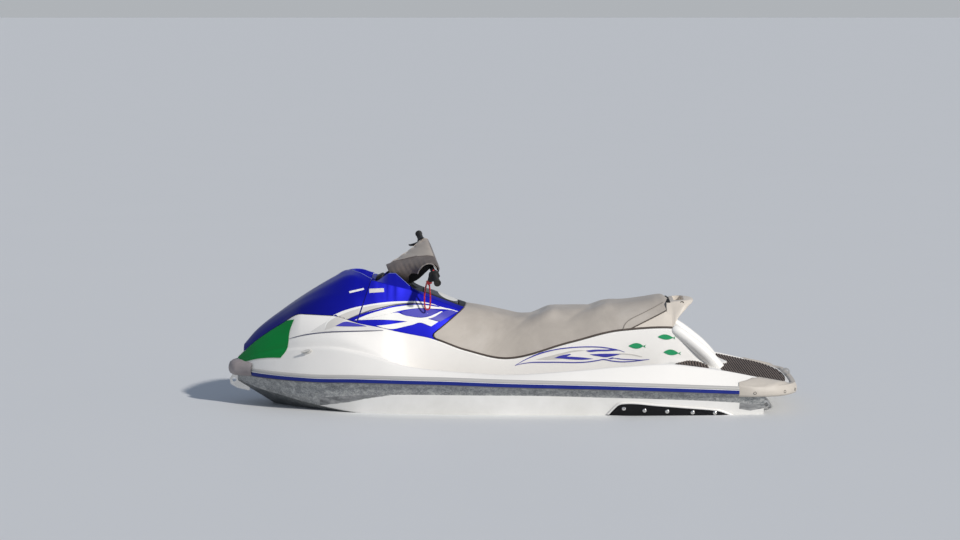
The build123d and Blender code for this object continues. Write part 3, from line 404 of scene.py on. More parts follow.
# a dark tone for the seat's piping cords, and painted shadow: the hem band under its overhang and the line above the
# tail
SEAT_PIPING_AND_SHADOW = vinyl("seat_piping_and_shadow", (0.07, 0.052, 0.042), (0.03, 0.022, 0.018), (0.12, 0.09, 0.07), 420, 0.55, 0.5)
THREAD = plastic("thread", (0.20, 0.18, 0.16), 0.7, 400, 0.3, (0.3, 0.28, 0.25), 0.3)
TAIL = plastic("tail_beige", (0.645, 0.585, 0.515), 0.5, 150, 0.2, (0.52, 0.47, 0.41), 0.4)
GRIP = plastic("grip_rubber", (0.009, 0.009, 0.009), 0.62, 300, 0.5, (0.025, 0.024, 0.022), 0.5, 0.35)
RED = plastic("lanyard_red", (0.50, 0.012, 0.015), 0.35, 200, 0.15, (0.62, 0.06, 0.05), 0.4)
GREEN_FISH = gelcoat("sticker_green", (0.004, 0.29, 0.105), (0.002, 0.09, 0.045), 0.4, 0.2, 0.3)
BADGE = gelcoat("badge_white", (0.78, 0.77, 0.72), (0.5, 0.5, 0.45), 0.3, 0.4, 0.3)
# near-black for holes, slots and gaps: painted shade
HOLLOW_SHADE = plastic("hollow_painted_shade", (0.006, 0.006, 0.006), 0.8, 100, 0.1, (0.015, 0.015, 0.015), 0.3)

# ------------------------------------------------------------------ mesh helpers
BASE = {}


def make(name, verts, faces, mats, body, replaces=(), mat_index=None, smooth=True, angle=40):
    me = bpy.data.meshes.new(name)
    me.from_pydata([tuple(v) for v in verts], [], [tuple(f) for f in faces])
    bm = bmesh.new()
    bm.from_mesh(me)
    if mat_index is not None:
        for f, k in zip(bm.faces, mat_index):
            f.material_index = k
    bmesh.ops.remove_doubles(bm, verts=bm.verts, dist=1e-6)
    bmesh.ops.dissolve_degenerate(bm, edges=bm.edges, dist=1e-6)
    bmesh.ops.recalc_face_normals(bm, faces=bm.faces)
    bm.to_mesh(me)
    bm.free()
    ob = bpy.data.objects.new(name, me)
    bpy.context.collection.objects.link(ob)
    for m in (mats if isinstance(mats, (list, tuple)) else [mats]):
        me.materials.append(m)
    if smooth:
        shade(ob, angle)
    if body:
        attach(ob, body)
    if replaces:
        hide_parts(*replaces)
    return ob


def shade(ob, angle=40):
    me = ob.data
    for p in me.polygons:
        p.use_smooth = True
    bm = bmesh.new()
    bm.from_mesh(me)
    lim = math.radians(angle)
    for e in bm.edges:
        e.smooth = not (len(e.link_faces) != 2 or e.calc_face_angle(0.0) > lim)
    bm.to_mesh(me)
    bm.free()


def apply_mods(ob):
    dg = bpy.context.evaluated_depsgraph_get()
    ev = ob.evaluated_get(dg)
    me = bpy.data.meshes.new_from_object(ev, depsgraph=dg)
    old = ob.data
    ob.modifiers.clear()
    ob.data = me
    bpy.data.meshes.remove(old)


def cut(ob, cutter, op="DIFFERENCE", solver="EXACT"):
    m = ob.modifiers.new("cut", "BOOLEAN")
    m.object = cutter
    m.operation = op
    m.solver = solver
    apply_mods(ob)
    bpy.data.objects.remove(cutter)


def box_mesh(name, lo, hi):
    lo, hi = Vector(lo), Vector(hi)
    vs = [(x, y, z) for x in (lo.x, hi.x) for y in (lo.y, hi.y) for z in (lo.z, hi.z)]
    fs = [(0, 1, 3, 2), (4, 6, 7, 5), (0, 4, 5, 1), (2, 3, 7, 6), (0, 2, 6, 4), (1, 5, 7, 3)]
    return make(name, vs, fs, [], None, smooth=False)


def prism_xz(name, pts, y0, y1):
    """an upright prism from a side-view outline of (x, z)"""
    n = len(pts)
    vs = [(x, y0, z) for x, z in pts] + [(x, y1, z) for x, z in pts]
    fs = [tuple(range(n)), tuple(range(2 * n - 1, n - 1, -1))]
    fs += [(i, (i + 1) % n, n + (i + 1) % n, n + i) for i in range(n)]
    return make(name, vs, fs, [], None, smooth=False)


def prism_xy(name, pts, z0, z1):
    n = len(pts)
    vs = [(x, y, z0) for x, y in pts] + [(x, y, z1) for x, y in pts]
    fs = [tuple(range(n)), tuple(range(2 * n - 1, n - 1, -1))]
    fs += [(i, (i + 1) % n, n + (i + 1) % n, n + i) for i in range(n)]
    return make(name, vs, fs, [], None, smooth=False)


def pchip(xs, ys, q):
    """monotone cubic through a table's column"""
    xs, ys, q = np.asarray(xs, float), np.asarray(ys, float), np.asarray(q, float)
    if xs[0] > xs[-1]:
        xs, ys = xs[::-1], ys[::-1]
    h = np.diff(xs)
    d = np.diff(ys) / h
    m = np.zeros(len(xs))
    for i in range(1, len(xs) - 1):
        if d[i - 1] * d[i] > 0:
            w1, w2 = 2 * h[i] + h[i - 1], h[i] + 2 * h[i - 1]
            m[i] = (w1 + w2) / (w1 / d[i - 1] + w2 / d[i])
    m[0], m[-1] = d[0], d[-1]
    q = np.clip(q, xs[0], xs[-1])
    k = np.clip(np.searchsorted(xs, q) - 1, 0, len(h) - 1)
    t = (q - xs[k]) / h[k]
    return ((2 * t**3 - 3 * t**2 + 1) * ys[k] + (t**3 - 2 * t**2 + t) * h[k] * m[k] + (-2 * t**3 + 3 * t**2) * ys[k + 1] + (t**3 - t**2) * h[k] * m[k + 1])


class Table:
    def __init__(self, names, rows):
        self.names = names.split()
        self.rows = sorted(rows, reverse=True)
        self.x = [r[0] for r in self.rows]

    def __call__(self, name, x):
        c = self.names.index(name)
        return float(pchip(self.x, [r[c] for r in self.rows], [x])[0])


def rounded(P, R, seg=6, sub=None):
    """a polyline with its corners rounded, always the same number of points"""
    out = [tuple(P[0])]
    n = len(P)
    last = np.array(P[0], float)
    for i in range(1, n - 1):
        a, b, c = (np.array(P[j], float) for j in (i - 1, i, i + 1))
        la, lc = np.linalg.norm(b - a) + 1e-9, np.linalg.norm(c - b) + 1e-9
        d = max(min(R[i], 0.48 * la, 0.48 * lc), 0.01)
        s, e = b + (a - b) * d / la, b + (c - b) * d / lc
        k = (sub[i - 1] if sub else 1)
        for j in range(1, k):
            out.append(tuple(last + (s - last) * j / k))
        for j in range(seg + 1):
            t = j / seg
            out.append(tuple((1 - t) ** 2 * s + 2 * t * (1 - t) * b + t * t * e))
        last = e
    k = (sub[-1] if sub else 1)
    end = np.array(P[-1], float)
    for j in range(1, k):
        out.append(tuple(last + (end - last) * j / k))
    out.append(tuple(P[-1]))
    return out


def grid(rows, closed=False, caps=False):
    """faces through rows of points, with the index of each face's column"""
    n = len(rows[0])
    verts = [p for r in rows for p in r]
    faces, cols = [], []
    for i in range(len(rows) - 1):
        for j in range(n if closed else n - 1):
            k = (j + 1) % n
            faces.append((i * n + j, i * n + k, (i + 1) * n + k, (i + 1) * n + j))
            cols.append((i, j))
    if caps:
        faces.append(tuple(range(n)))
        cols.append((0, -1))
        m = (len(rows) - 1) * n
        faces.append(tuple(range(m + n - 1, m - 1, -1)))
        cols.append((len(rows) - 1, -1))
    return verts, faces, cols


def whole(half):
    """both sides from a port half that runs from centre bottom to centre top: a closed ring"""
    return list(half) + [(-y, z) for y, z in reversed(half[1:-1])]


def across(half):
    """both sides from a half that starts at the port foot and ends on the centreline: an open strip"""
    return list(half) + [(-y, z) for y, z in reversed(half[:-1])]


def bisect(ob, co, no):
    """keeps what lies against the normal"""
    bm = bmesh.new()
    bm.from_mesh(ob.data)
    bmesh.ops.bisect_plane(bm, geom=bm.verts[:] + bm.edges[:] + bm.faces[:], dist=1e-6, plane_co=co, plane_no=no, clear_outer=True)
    bm.to_mesh(ob.data)
    bm.free()


def thicken(ob, t, offset=-1.0):
    s = ob.modifiers.new("thick", "SOLIDIFY")
    s.thickness = t
    s.offset = offset
    s.use_even_offset = False
    s.use_rim = True
    apply_mods(ob)


def tube(name, pts, radius, mats, body, closed=False, seg=12, replaces=(), squash=None, caps=True):
    """a tube through points, with parallel frames"""
    pts = [Vector(p) for p in pts]
    n = len(pts)
    rows = []
    tangents = []
    for i in range(n):
        a = pts[(i - 1) % n] if (closed or i > 0) else pts[0]
        b = pts[(i + 1) % n] if (closed or i < n - 1) else pts[-1]
        tangents.append((b - a).normalized())
    ref = Vector((0, 0, 1)) if abs(tangents[0].z) < 0.9 else Vector((1, 0, 0))
    u = tangents[0].cross(ref).normalized()
    for i in range(n):
        t = tangents[i]
        u = (u - t * u.dot(t)).normalized()
        w = t.cross(u)
        r = radius(i / max(n - 1, 1)) if callable(radius) else radius
        rows.append([pts[i] + (u * math.cos(2 * math.pi * k / seg) + w * math.sin(2 * math.pi * k / seg)) * r for k in range(seg)])
    if closed:
        rows.append(rows[0])
    v, f, c = grid(rows, closed=True, caps=caps and not closed)
    return make(name, v, f, mats, body, replaces)


def spline(P, n=12, closed=False):
    """Catmull-Rom points through P"""
    P = [np.array(p, float) for p in P]
    m = len(P)
    out = []
    for i in range(m if closed else m - 1):
        p0 = P[(i - 1) % m] if closed or i > 0 else 2 * P[0] - P[1]
        p1, p2 = P[i], P[(i + 1) % m]
        p3 = P[(i + 2) % m] if closed or i + 2 < m else 2 * P[-1] - P[-2]
        for j in range(n):
            t = j / n
            out.append(0.5 * (2 * p1 + (p2 - p0) * t + (2 * p0 - 5 * p1 + 4 * p2 - p3) * t * t + (3 * p1 - p0 - 3 * p2 + p3) * t**3))
    if not closed:
        out.append(P[-1])
    return [tuple(o) for o in out]

# ------------------------------------------------------------------ section tables, millimetres
HULL = Table("x kz cy cz ny nz sy sz", [
    (1555, 126, 28, 138, 35, 150, 44, 172), (1450, 62, 112, 106, 128, 122, 160, 170), (1300, -30, 212, 76, 238, 102, 280, 168),
    (1110, -130, 310, 38, 342, 84, 388, 168), (850, -222, 396, -2, 438, 108, 480, 176), (450, -276, 444, -46, 506, 118, 545, 174),
    (0, -290, 462, -70, 534, 118, 570, 162), (-550, -290, 462, -80, 530, 105, 566, 148), (-1000, -290, 448, -85, 505, 88, 540, 130),
    (-1400, -290, 424, -90, 470, 62, 498, 110)])
DECK = Table("x gy gz oy oz iy iz ty tz", [
    (1555, 36, 236, 31, 246, 25, 255, 19, 262), (1450, 142, 285, 128, 308, 110, 335, 90, 361), (1300, 250, 326, 230, 372, 200, 420, 165, 466),
    (1180, 325, 346, 303, 402, 273, 468, 235, 533), (1000, 405, 360, 378, 412, 342, 472, 290, 530), (850, 455, 342, 425, 385, 378, 438, 315, 490),
    (720, 485, 312, 450, 330, 385, 392, 312, 465), (650, 496, 292, 460, 268, 352, 330, 307, 447), (580, 502, 279, 467, 178, 326, 190, 303, 432), (510, 506, 269, 472, 120, 316, 122, 299, 418), (470, 508, 264, 474, 108, 312, 106, 297, 410),
    (250, 518, 246, 482, 100, 302, 98, 290, 332), (30, 521, 234, 485, 98, 298, 96, 283, 285), (-330, 516, 255, 480, 104, 292, 102, 275, 374),
    (-620, 503, 279, 466, 128, 285, 126, 265, 442), (-850, 487, 286, 452, 246, 276, 246, 254, 456), (-930, 480, 280, 448, 266, 272, 268, 250, 452),
    (-1000, 473, 271, 443, 260, 271, 264, 250, 400), (-1170, 452, 245, 430, 236, 270, 237, 250, 244), (-1400, 418, 197, 402, 190, 262, 188, 240, 191), (-1580, 388, 160, 370, 152, 250, 150, 230, 153)])
CENTRE = Table("x my mz cy cz tz", [
    (1520, 30, 318, 15, 332, 337), (1450, 66, 391, 34, 411, 418), (1300, 125, 504, 64, 528, 536), (1180, 188, 578, 98, 610, 619),
    (1000, 238, 628, 138, 706, 727), (910, 260, 628, 160, 744, 767), (850, 270, 612, 168, 735, 757), (760, 268, 598, 175, 700, 725),
    (720, 264, 592, 158, 715, 700), (640, 254, 580, 142, 700, 700), (570, 248, 570, 140, 672, 664), (470, 240, 548, 140, 640, 655),
    (250, 232, 460, 140, 562, 574), (180, 234, 436, 148, 550, 566), (30, 234, 408, 148, 518, 535), (-67, 230, 420, 146, 500, 518),
    (-150, 228, 438, 144, 510, 526), (-228, 225, 454, 142, 546, 566), (-330, 222, 470, 138, 546, 564), (-450, 218, 492, 134, 550, 567),
    (-528, 214, 508, 132, 576, 595), (-620, 210, 522, 128, 578, 597), (-750, 204, 536, 122, 594, 612), (-850, 198, 544, 116, 608, 626),
    (-905, 194, 530, 108, 572, 590)])


def labelled(P, R, seg=4, sub=None):
    """rounded() with, for each segment of the result, the side of P that it lies on"""
    pts = rounded(P, R, seg, sub)
    lab = []
    for i in range(1, len(P) - 1):
        k = sub[i - 1] if sub else 1
        lab += [i - 1] * k
        lab += [i - 1] * (seg // 2) + [i] * (seg - seg // 2)
    lab += [len(P) - 2] * (sub[-1] if sub else 1)
    return pts, lab


def loft(name, xs, section, mats, body, replaces=(), closed=True, zone=lambda k: 0, angle=40):
    """a body through sections at stations xs, whose port half gives (points, labels); zone picks a material from a label"""
    rows, labs = [], None
    for x in xs:
        pts, labs = section(x)
        ring = whole(pts) if closed else across(pts)
        rows.append([(x * MM, y * MM, z * MM) for y, z in ring])
    v, f, cols = grid(rows, closed=closed, caps=closed)
    m = len(labs) + 1
    idx = []
    for i, j in cols:
        if j < 0:
            idx.append(zone(0))
        else:
            idx.append(zone(labs[j] if j < m - 1 else labs[2 * m - 3 - j]))
    return make(name, v, f, mats, body, replaces, idx, angle=angle)


def stations(a, b, step, extra=()):
    n = max(2, int(abs(a - b) / step) + 1)
    xs = set(np.round(np.linspace(a, b, n), 2)) | set(extra)
    return sorted(xs, reverse=True)


# ------------------------------------------------------------------ hull
def deck_low(x):
    return min(HULL("sz", max(x, -1400)) - 12, min(DECK("oz", x), DECK("iz", x)) - 15)


def hull_half(x):
    kz, cy, cz, ny, nz, sy, sz = (HULL(c, x) for c in "kz cy cz ny nz sy sz".split())
    s = max(0.0, min(1.0, (1150 - x) / 500.0))

    def on(f, drop=0.0):
        return (f * cy, kz + f * (cz - kz) - drop)
    low = deck_low(x)
    P = [(0, kz), on(0.36), on(0.42, 9 * s), on(0.425, -1 * s), on(0.68), on(0.74, 9 * s), on(0.745, -1 * s), (cy, cz), (cy + 4, cz + 5),
         (ny, nz - 3), (ny, nz), (sy, sz), (sy - 18, sz), (max(ny - 26, 8), low - 1.5), (0, low - 1.5)]
    R = [0, 10, 2, 2, 10, 2, 2, 5, 5, 3, 3, 2, 1, 3, 0]
    return labelled(P, R, 2)


hull = loft("hull_shell", stations(1555, -1400, 22, HULL.x), hull_half, [SCUFF, HULL_SIDE, HULL_BOTTOM_SHADE], "hull",
            ["hull"], zone=lambda k: 2 if k <= 6 else (1 if k <= 8 else 0), angle=28)
# the transom and the tunnel share the last material
for p in hull.data.polygons:
    c = p.center
    if p.material_index == 1 and (c.x > 1.07 or (c.x < -1.272 and c.z > 0.028)):
        p.material_index = 0
cut(hull, box_mesh("c1", (-1.421, -0.165, -0.31), (-0.950, 0.165, 0.075)))
cut(hull, prism_xz("c2", [(-0.430, -0.320), (-0.640, -0.320), (-0.952, -0.188), (-0.952, -0.032)], -0.080, 0.080))
cut(hull, box_mesh("c3", (-0.620, -0.220, -0.150), (0.250, 0.220, 0.30)))
shade(hull, 28)

# ------------------------------------------------------------------ deck
def deck_half(x):
    gy, gz, oy, oz, iy, iz, ty, tz = (DECK(c, x) for c in "gy gz oy oz iy iz ty tz".split())
    xh = max(x, -1400)
    sy, sz, ny = HULL("sy", xh), HULL("sz", xh), HULL("ny", xh)
    low = deck_low(x)
    rim = min(12.0, 0.2 * (gy - oy) + 0.2)
    P = [(0, low), (max(ny - 26, 8), low), (sy - 18, sz), (sy, sz), (sy, sz + 47), (gy, gz), (oy + rim, gz + 0.15 * (oz - gz) + (3 if oz < gz - 20 else 0)), (oy, oz), (iy, iz), (ty, tz), (0, tz)]
    R = [0, 2, 1, 1, 2, 26, 9, 24, 30, 8, 0]
    return labelled(P, R, 5)


deck = loft("deck_shell", stations(1555, -1580, 20, DECK.x), deck_half, [WHITE], "hull", ["deck"], angle=35)
plan = [(1.7, -0.7), (1.7, 0.7), (-1.33, 0.7), (-1.33, 0.495), (-1.44, 0.470)]


def arc3(a, b, c, n=10):
    """points on the circle through three plan points, without the first"""
    ax, ay, bx, by, cx, cy = *a, *b, *c
    d = 2 * (ax * (by - cy) + bx * (cy - ay) + cx * (ay - by))
    ux = ((ax**2 + ay**2) * (by - cy) + (bx**2 + by**2) * (cy - ay) + (cx**2 + cy**2) * (ay - by)) / d
    uy = ((ax**2 + ay**2) * (cx - bx) + (bx**2 + by**2) * (ax - cx) + (cx**2 + cy**2) * (bx - ax)) / d
    r = math.hypot(ax - ux, ay - uy)
    t0, t1, t2 = (math.atan2(q - uy, p - ux) for p, q in (a, b, c))

    def near(t, ref):
        while t - ref > math.pi:
            t -= 2 * math.pi
        while ref - t > math.pi:
            t += 2 * math.pi
        return t
    t1 = near(t1, t0)
    t2 = near(t2, t1)
    return [(ux + r * math.cos(t0 + (t2 - t0) * k / n), uy + r * math.sin(t0 + (t2 - t0) * k / n)) for k in range(1, n + 1)]


STERN_PORT = arc3((-1.44, 0.47), (-1.535, 0.385), (-1.564, 0.25), 12) + arc3((-1.564, 0.25), (-1.572, 0.0), (-1.564, -0.25), 16) + arc3((-1.564, -0.25), (-1.535, -0.385), (-1.44, -0.47), 12)
blank = prism_xy("c4", plan + STERN_PORT + [(-1.33, -0.495), (-1.33, -0.7)], -0.05, 0.75)
cut(deck, blank, "INTERSECT")
cut(deck, box_mesh("c5", (-0.610, -0.165, 0.0), (0.200, 0.165, 0.7)))
cut(deck, box_mesh("c6", (0.880, -0.205, 0.2251), (1.170, 0.205, 0.8)))
shade(deck, 35)


def world_tree(obs):
    vs, fs = [], []
    for o in obs:
        n = len(vs)
        vs += [v.co.copy() for v in o.data.vertices]
        fs += [tuple(i + n for i in p.vertices) for p in o.data.polygons]
    return BVHTree.FromPolygons(vs, fs)


DECK_TREE = world_tree([deck])


def drop(x, y, tree=None, z=1.2, lift=0.0):
    h = (tree or DECK_TREE).ray_cast(Vector((x, y, z)), Vector((0, 0, -1)))
    return Vector((x, y, h[0].z + lift)) if h[0] else None


# ------------------------------------------------------------------ rubbing band
RAIL_ROWS = [(0, 0), (9, 0.6), (12, 2), (12, 4.2), (10.6, 5), (10.6, 5.4), (12.4, 6.4), (13.0, 12), (12.6, 24.5), (11.4, 25.4), (11.4, 28.4), (12.4, 29), (14.0, 31), (14.4, 34), (13.4, 39), (10, 43.5), (5, 46.4), (0, 47)]
RAIL_MATS = [0, 0, 0, 0, 0, 1, 1, 1, 1, 2, 2, 3, 3, 3, 3, 3, 3]
for side, tag in ((1, "port"), (-1, "starboard")):
    rows = []
    for x in stations(1490, -1258, 20):
        sy, sz = HULL("sy", x), HULL("sz", x)
        k = min(1.0, (1490 - x) / 60.0 + 0.25)
        rows.append([(x * MM, side * (sy + o * k) * MM, (sz + h) * MM) for o, h in RAIL_ROWS])
    v, f, c = grid(rows, closed=True, caps=True)
    idx = [RAIL_MATS[j] if 0 <= j < len(RAIL_MATS) else 0 for i, j in c]
    make("rub_rail_" + tag, v, f, [RAIL_DARK, RAIL_BLUE, STRIPE_WHITE, RAIL_PALE], "hull", ["rub_rail"], idx, angle=30)

# ------------------------------------------------------------------ bow bumper: a rounded fender wrapped round the stem
rows = []
P = [(1.470, 0.158), (1.508, 0.132)] + [(1.545, 0.100)] + arc3((1.545, 0.100), (1.598, 0.052), (1.610, 0.0), 8)
# profile: inset from the outline, height
for inset, z in ((0.075, 0.1665), (0.040, 0.1665), (0.022, 0.168), (0.008, 0.176), (0.002, 0.190), (0.0, 0.203), (0.0015, 0.220), (0.008, 0.236), (0.022, 0.247), (0.042, 0.2535), (0.075, 0.2595)):
    row = []
    for x, y in P:
        c = Vector((1.40, 0.0))
        p = Vector((x, y))
        q = p + (c - p).normalized() * inset
        zz = z + (0.0 if x > 1.5 else 0.0)
        row.append((q.x, max(q.y, 0.0), zz))
    row = row + [(x, -y, z) for x, y, z in reversed(row[:-1])]
    rows.append(row)
v, f, c = grid(rows)
bow = make("bow_fender", v, f, [BUMPER_GREY], "hull", ["bow_bumper"], angle=60)

# ------------------------------------------------------------------ stern bumper: wraps the platform's edge and laps over the deck
OUT = [(-1.256, 0.516), (-1.300, 0.520), (-1.345, 0.520), (-1.395, 0.511), (-1.44, 0.500)] + arc3((-1.44, 0.500), (-1.560, 0.405), (-1.604, 0.25), 14) + arc3((-1.604, 0.25), (-1.610, 0.0), (-1.604, -0.25), 18)
OUT = OUT + [(x, -y) for x, y in reversed(OUT[:len(OUT) - 18])]
centre = []
rows = []
n = len(OUT)
for i, p in enumerate(OUT):
    a, b = Vector(OUT[max(i - 1, 0)]), Vector(OUT[min(i + 1, n - 1)])
    t = (b - a).normalized()
    inward = Vector((-t.y, t.x))
    if inward.dot(Vector((-1.2, 0.0)) - Vector(p)) < 0:
        inward = -inward
    p = Vector(p)
    zt = min(0.162, 0.162)
    prof = [(0.045, 0.106), (0.012, 0.104), (0.003, 0.108), (0.0, 0.118), (0.0, 0.132), (0.003, 0.146), (0.009, 0.156)]
    # at its front ends the side stands a little taller, over the rail's top
    fr = min(1.0, max(0.0, (p.x + 1.36) / 0.09))
    prof = [(d * (1.0 - 0.8 * fr) if z > 0.14 else d, z + max(0.0, z - 0.118) * 0.38 * fr) for d, z in prof]
    row = [(p.x + inward.x * d, p.y + inward.y * d, z) for d, z in prof]
    s = abs(i / (n - 1) - 0.5) * 2            # 1 at the front ends, 0 at the stern
    lap = float(pchip([-1.61, -1.597, -1.56, -1.50, -1.44, -1.38, -1.33, -1.29, -1.256], [0.038, 0.040, 0.056, 0.094, 0.112, 0.100, 0.074, 0.050, 0.030], [p.x])[0])
    for k in (0.2, 0.6, 1, 2, 3, 4, 5):
        d = (0.008 - 0.005 * fr) + (lap - 0.008) * k / 5.0
        q = p + inward * d
        step_in = inward * (lap - 0.008) * 0.1
        near_z = [h.z for h in (drop(q.x, q.y), drop(q.x + step_in.x, q.y + step_in.y), drop(q.x - step_in.x, q.y - step_in.y)) if h is not None and h.z > 0.12]
        hz = (max(near_z) if k < 5 else near_z[0]) if near_z else 0.158
        z = max(hz + (0.0045 if k < 5 else 0.0005), 0.158 + 0.014 * fr if k <= 1 else 0.0)
        row.append((q.x, q.y, z))
    rows.append(row)
v, f, c = grid(rows)
sb = make("stern_fender", v, f, [BUMPER_PALE], "hull", ["stern_bumper"], angle=50)
# recessed bolts round it, drawn as near-black recesses of painted shade
for i in (2, 8, 13, 19, 26, len(OUT) - 27, len(OUT) - 20, len(OUT) - 14, len(OUT) - 9, len(OUT) - 3):
    a, b = Vector(OUT[max(i - 1, 0)]), Vector(OUT[min(i + 1, n - 1)])
    t = (b - a).normalized()
    o = Vector((t.y, -t.x))
    if o.dot(Vector((-1.2, 0.0)) - Vector(OUT[i])) > 0:
        o = -o
    ring = []
    c0 = Vector((OUT[i][0], OUT[i][1], 0.127))
    T, O = Vector((t.x, t.y, 0)), Vector((o.x, o.y, 0))
    rws = [[c0 + (T * math.cos(q) + Vector((0, 0, 1)) * math.sin(q)) * r + O * h for q in np.linspace(0, 2 * math.pi, 13)[:-1]] for r, h in ((0.0085, -0.001), (0.0085, 0.0012), (0.0068, 0.0012), (0.0058, -0.003), (0.0001, -0.003))]
    v, f, c = grid(rws, closed=True)
    make(f"fender_bolt_{i}", v, f, [HOLLOW_SHADE], "hull", ())

# ------------------------------------------------------------------ hood, cowl, dash and lid
SEAM = ((0.760, 0.800), (0.868, 0.480))
SEAT_LINE = ((0.505, 0.375), (0.216, 0.600))
TAIL_LINE = ((-0.640, 0.437), (-0.960, 0.585))
# hood: crown y, z; visor rim y, z; inside of the rim y, z; middle of the recess z
HOOD = Table("x cy cz ry rz iy iz tz", [
    (1520, 15, 332, 8, 335, 4, 336.5, 337), (1450, 34, 411, 18, 416, 8, 417.5, 418), (1300, 64, 528, 34, 533, 16, 535.5, 536),
    (1180, 98, 610, 52, 616, 24, 618.5, 619), (1000, 138, 706, 74, 719, 34, 726, 727), (930, 152, 739, 60, 757, 26, 761, 762),
    (905, 158, 745, 22, 766, 12, 762, 761), (885, 166, 744, 74, 763, 62, 742, 738), (850, 186, 728, 116, 757, 104, 722, 712),
    (800, 218, 702, 166, 736, 156, 712, 699), (768, 236, 682, 200, 725, 191, 708, 693), (750, 240, 676, 205, 722, 196, 706, 690)])
# cowl: crease y, z; wing top y, z; inside foot of the wing y, z; middle z
COWL = Table("x ky kz wy wz iy iz tz", [
    (910, 205, 724, 70, 716, 58, 700, 690), (790, 204, 723, 70, 711, 58, 698, 692), (770, 204, 721, 76, 701, 62, 696, 694), (745, 203, 714, 88, 717, 74, 702, 698),
    (715, 202, 706, 100, 738, 87, 705, 700), (697, 201, 701, 107, 750.5, 93, 709, 702), (691, 201, 700, 109, 754, 95, 710, 702), (652, 198, 690, 113, 754.5, 98, 710, 702), (646, 198, 689, 116, 750, 101, 709, 702), (630, 196, 685, 126, 737, 111, 704, 699),
    (600, 190, 677, 147, 713, 131, 690, 684), (568, 184, 667, 167, 687, 150, 670, 664), (540, 180, 657, 158, 668, 130, 658, 658), (470, 178, 628, 143, 641, 104, 648, 655),
    (360, 174, 586, 140, 600, 98, 608, 614), (250, 172, 542, 140, 562, 96, 569, 574), (180, 176, 530, 148, 550, 100, 559, 566)])


def foot(x, lift):
    return DECK("ty", x) - 2.0, DECK("tz", x) + lift


def hood_half(x):
    fy, fz = foot(x, 3.0)
    my, mz = CENTRE("my", x), CENTRE("mz", x)
    cy, cz, ry, rz, iy, iz, tz = (HOOD(c, x) for c in "cy cz ry rz iy iz tz".split())
    r = 5 if x < 915 else 18
    P = [(0, fz), (fy, fz), (my, mz), (cy, cz), (ry, rz), (iy, iz), (0, tz)]
    return labelled(P, [0, 3, 34, 30, r, r, 0], 6, [1, 3, 3, 2, 1, 3])


def hood_inner(x):
    fy, fz = foot(x, 3.0)
    my, mz = CENTRE("my", x), CENTRE("mz", x)
    cy, cz, ry, rz, iy, iz, tz = (HOOD(c, x) for c in "cy cz ry rz iy iz tz".split())
    top = min(tz, iz, rz) - 20
    P = [(0, fz - 12), (max(fy - 22, 3), fz - 12), (max(my - 22, 3), mz - 10), (max(cy - 22, 2), min(cz - 20, top)), (0, top)]
    return labelled(P, [0, 2, 20, 20, 0], 4)


def cowl_half(x):
    fy, fz = foot(x, 0.0)
    my, mz = CENTRE("my", x), CENTRE("mz", x)
    ky, kz, wy, wz, iy, iz, tz = (COWL(c, x) for c in "ky kz wy wz iy iz tz".split())
    P = [(0, fz), (fy, fz), (my, mz), (ky, kz), (wy, wz), (iy, iz), (0, tz)]
    return labelled(P, [0, 3, 34, 5, 3, 8, 0], 6, [1, 3, 2, 2, 1, 3])


def plane_cut(ob, line, gap, keep_aft):
    """cuts a closed solid by the plane through a side-view line and closes it; gap moves the plane aft"""
    (x0, z0), (x1, z1) = line
    d = Vector((x1 - x0, 0, z1 - z0)).normalized()
    n = Vector((d.z, 0, -d.x))
    if n.x > 0:
        n = -n
    co = Vector((x0, 0, z0)) + n * gap
    bm = bmesh.new()
    bm.from_mesh(ob.data)
    res = bmesh.ops.bisect_plane(bm, geom=bm.verts[:] + bm.edges[:] + bm.faces[:], dist=1e-6, plane_co=co, plane_no=n, clear_inner=keep_aft, clear_outer=not keep_aft)
    edges = [e for e in res["geom_cut"] if isinstance(e, bmesh.types.BMEdge)]
    loop = [tuple(v.co) for e in edges for v in e.verts]
    bmesh.ops.holes_fill(bm, edges=edges, sides=0)
    bmesh.ops.recalc_face_normals(bm, faces=bm.faces)
    bm.to_mesh(ob.data)
    bm.free()
    return loop


def drum(name, r, t0, t1, seg=64):
    """a cylinder about the steering axis, from t0 to t1 metres down it"""
    o, ax = Vector((0.462, 0, 0.836)), Vector((-0.8660254, 0, 0.5))
    u = Vector((0, 1, 0))
    w = ax.cross(u)
    rws = [[o - ax * t + (u * math.cos(q) + w * math.sin(q)) * r for q in np.linspace(0, 2 * math.pi, seg + 1)[:-1]] for t in (t0, t1)]
    v, f, c = grid(rws, closed=True, caps=True)
    return make(name, v, f, [], None, smooth=False)


hood = loft("hood_shell", stations(1520, 750, 12, HOOD.x), hood_half, [BLUE_HOOD_NOSE_SHADE], "hood", ["hood"], angle=33)
HOOD_FULL = world_tree([hood])
plane_cut(hood, SEAM, -0.0022, False)
inner = loft("hood_in", stations(1450, 750, 25), hood_inner, [HOLLOW_SHADE], None)
cut(hood, inner)
if len(hood.data.materials) < 2:
    hood.data.materials.append(BLACK)
sd = Vector((SEAM[1][0] - SEAM[0][0], 0, SEAM[1][1] - SEAM[0][1])).normalized()
sn = Vector((sd.z, 0, -sd.x))
for p in hood.data.polygons:
    if abs(p.normal.dot(sn)) > 0.985 and abs((p.center - Vector((SEAM[0][0], 0, SEAM[0][1]))).dot(sn)) < 0.006:
        p.material_index = len(hood.data.materials) - 1
hood.data.materials[len(hood.data.materials) - 1] = BLACK
shade(hood, 33)

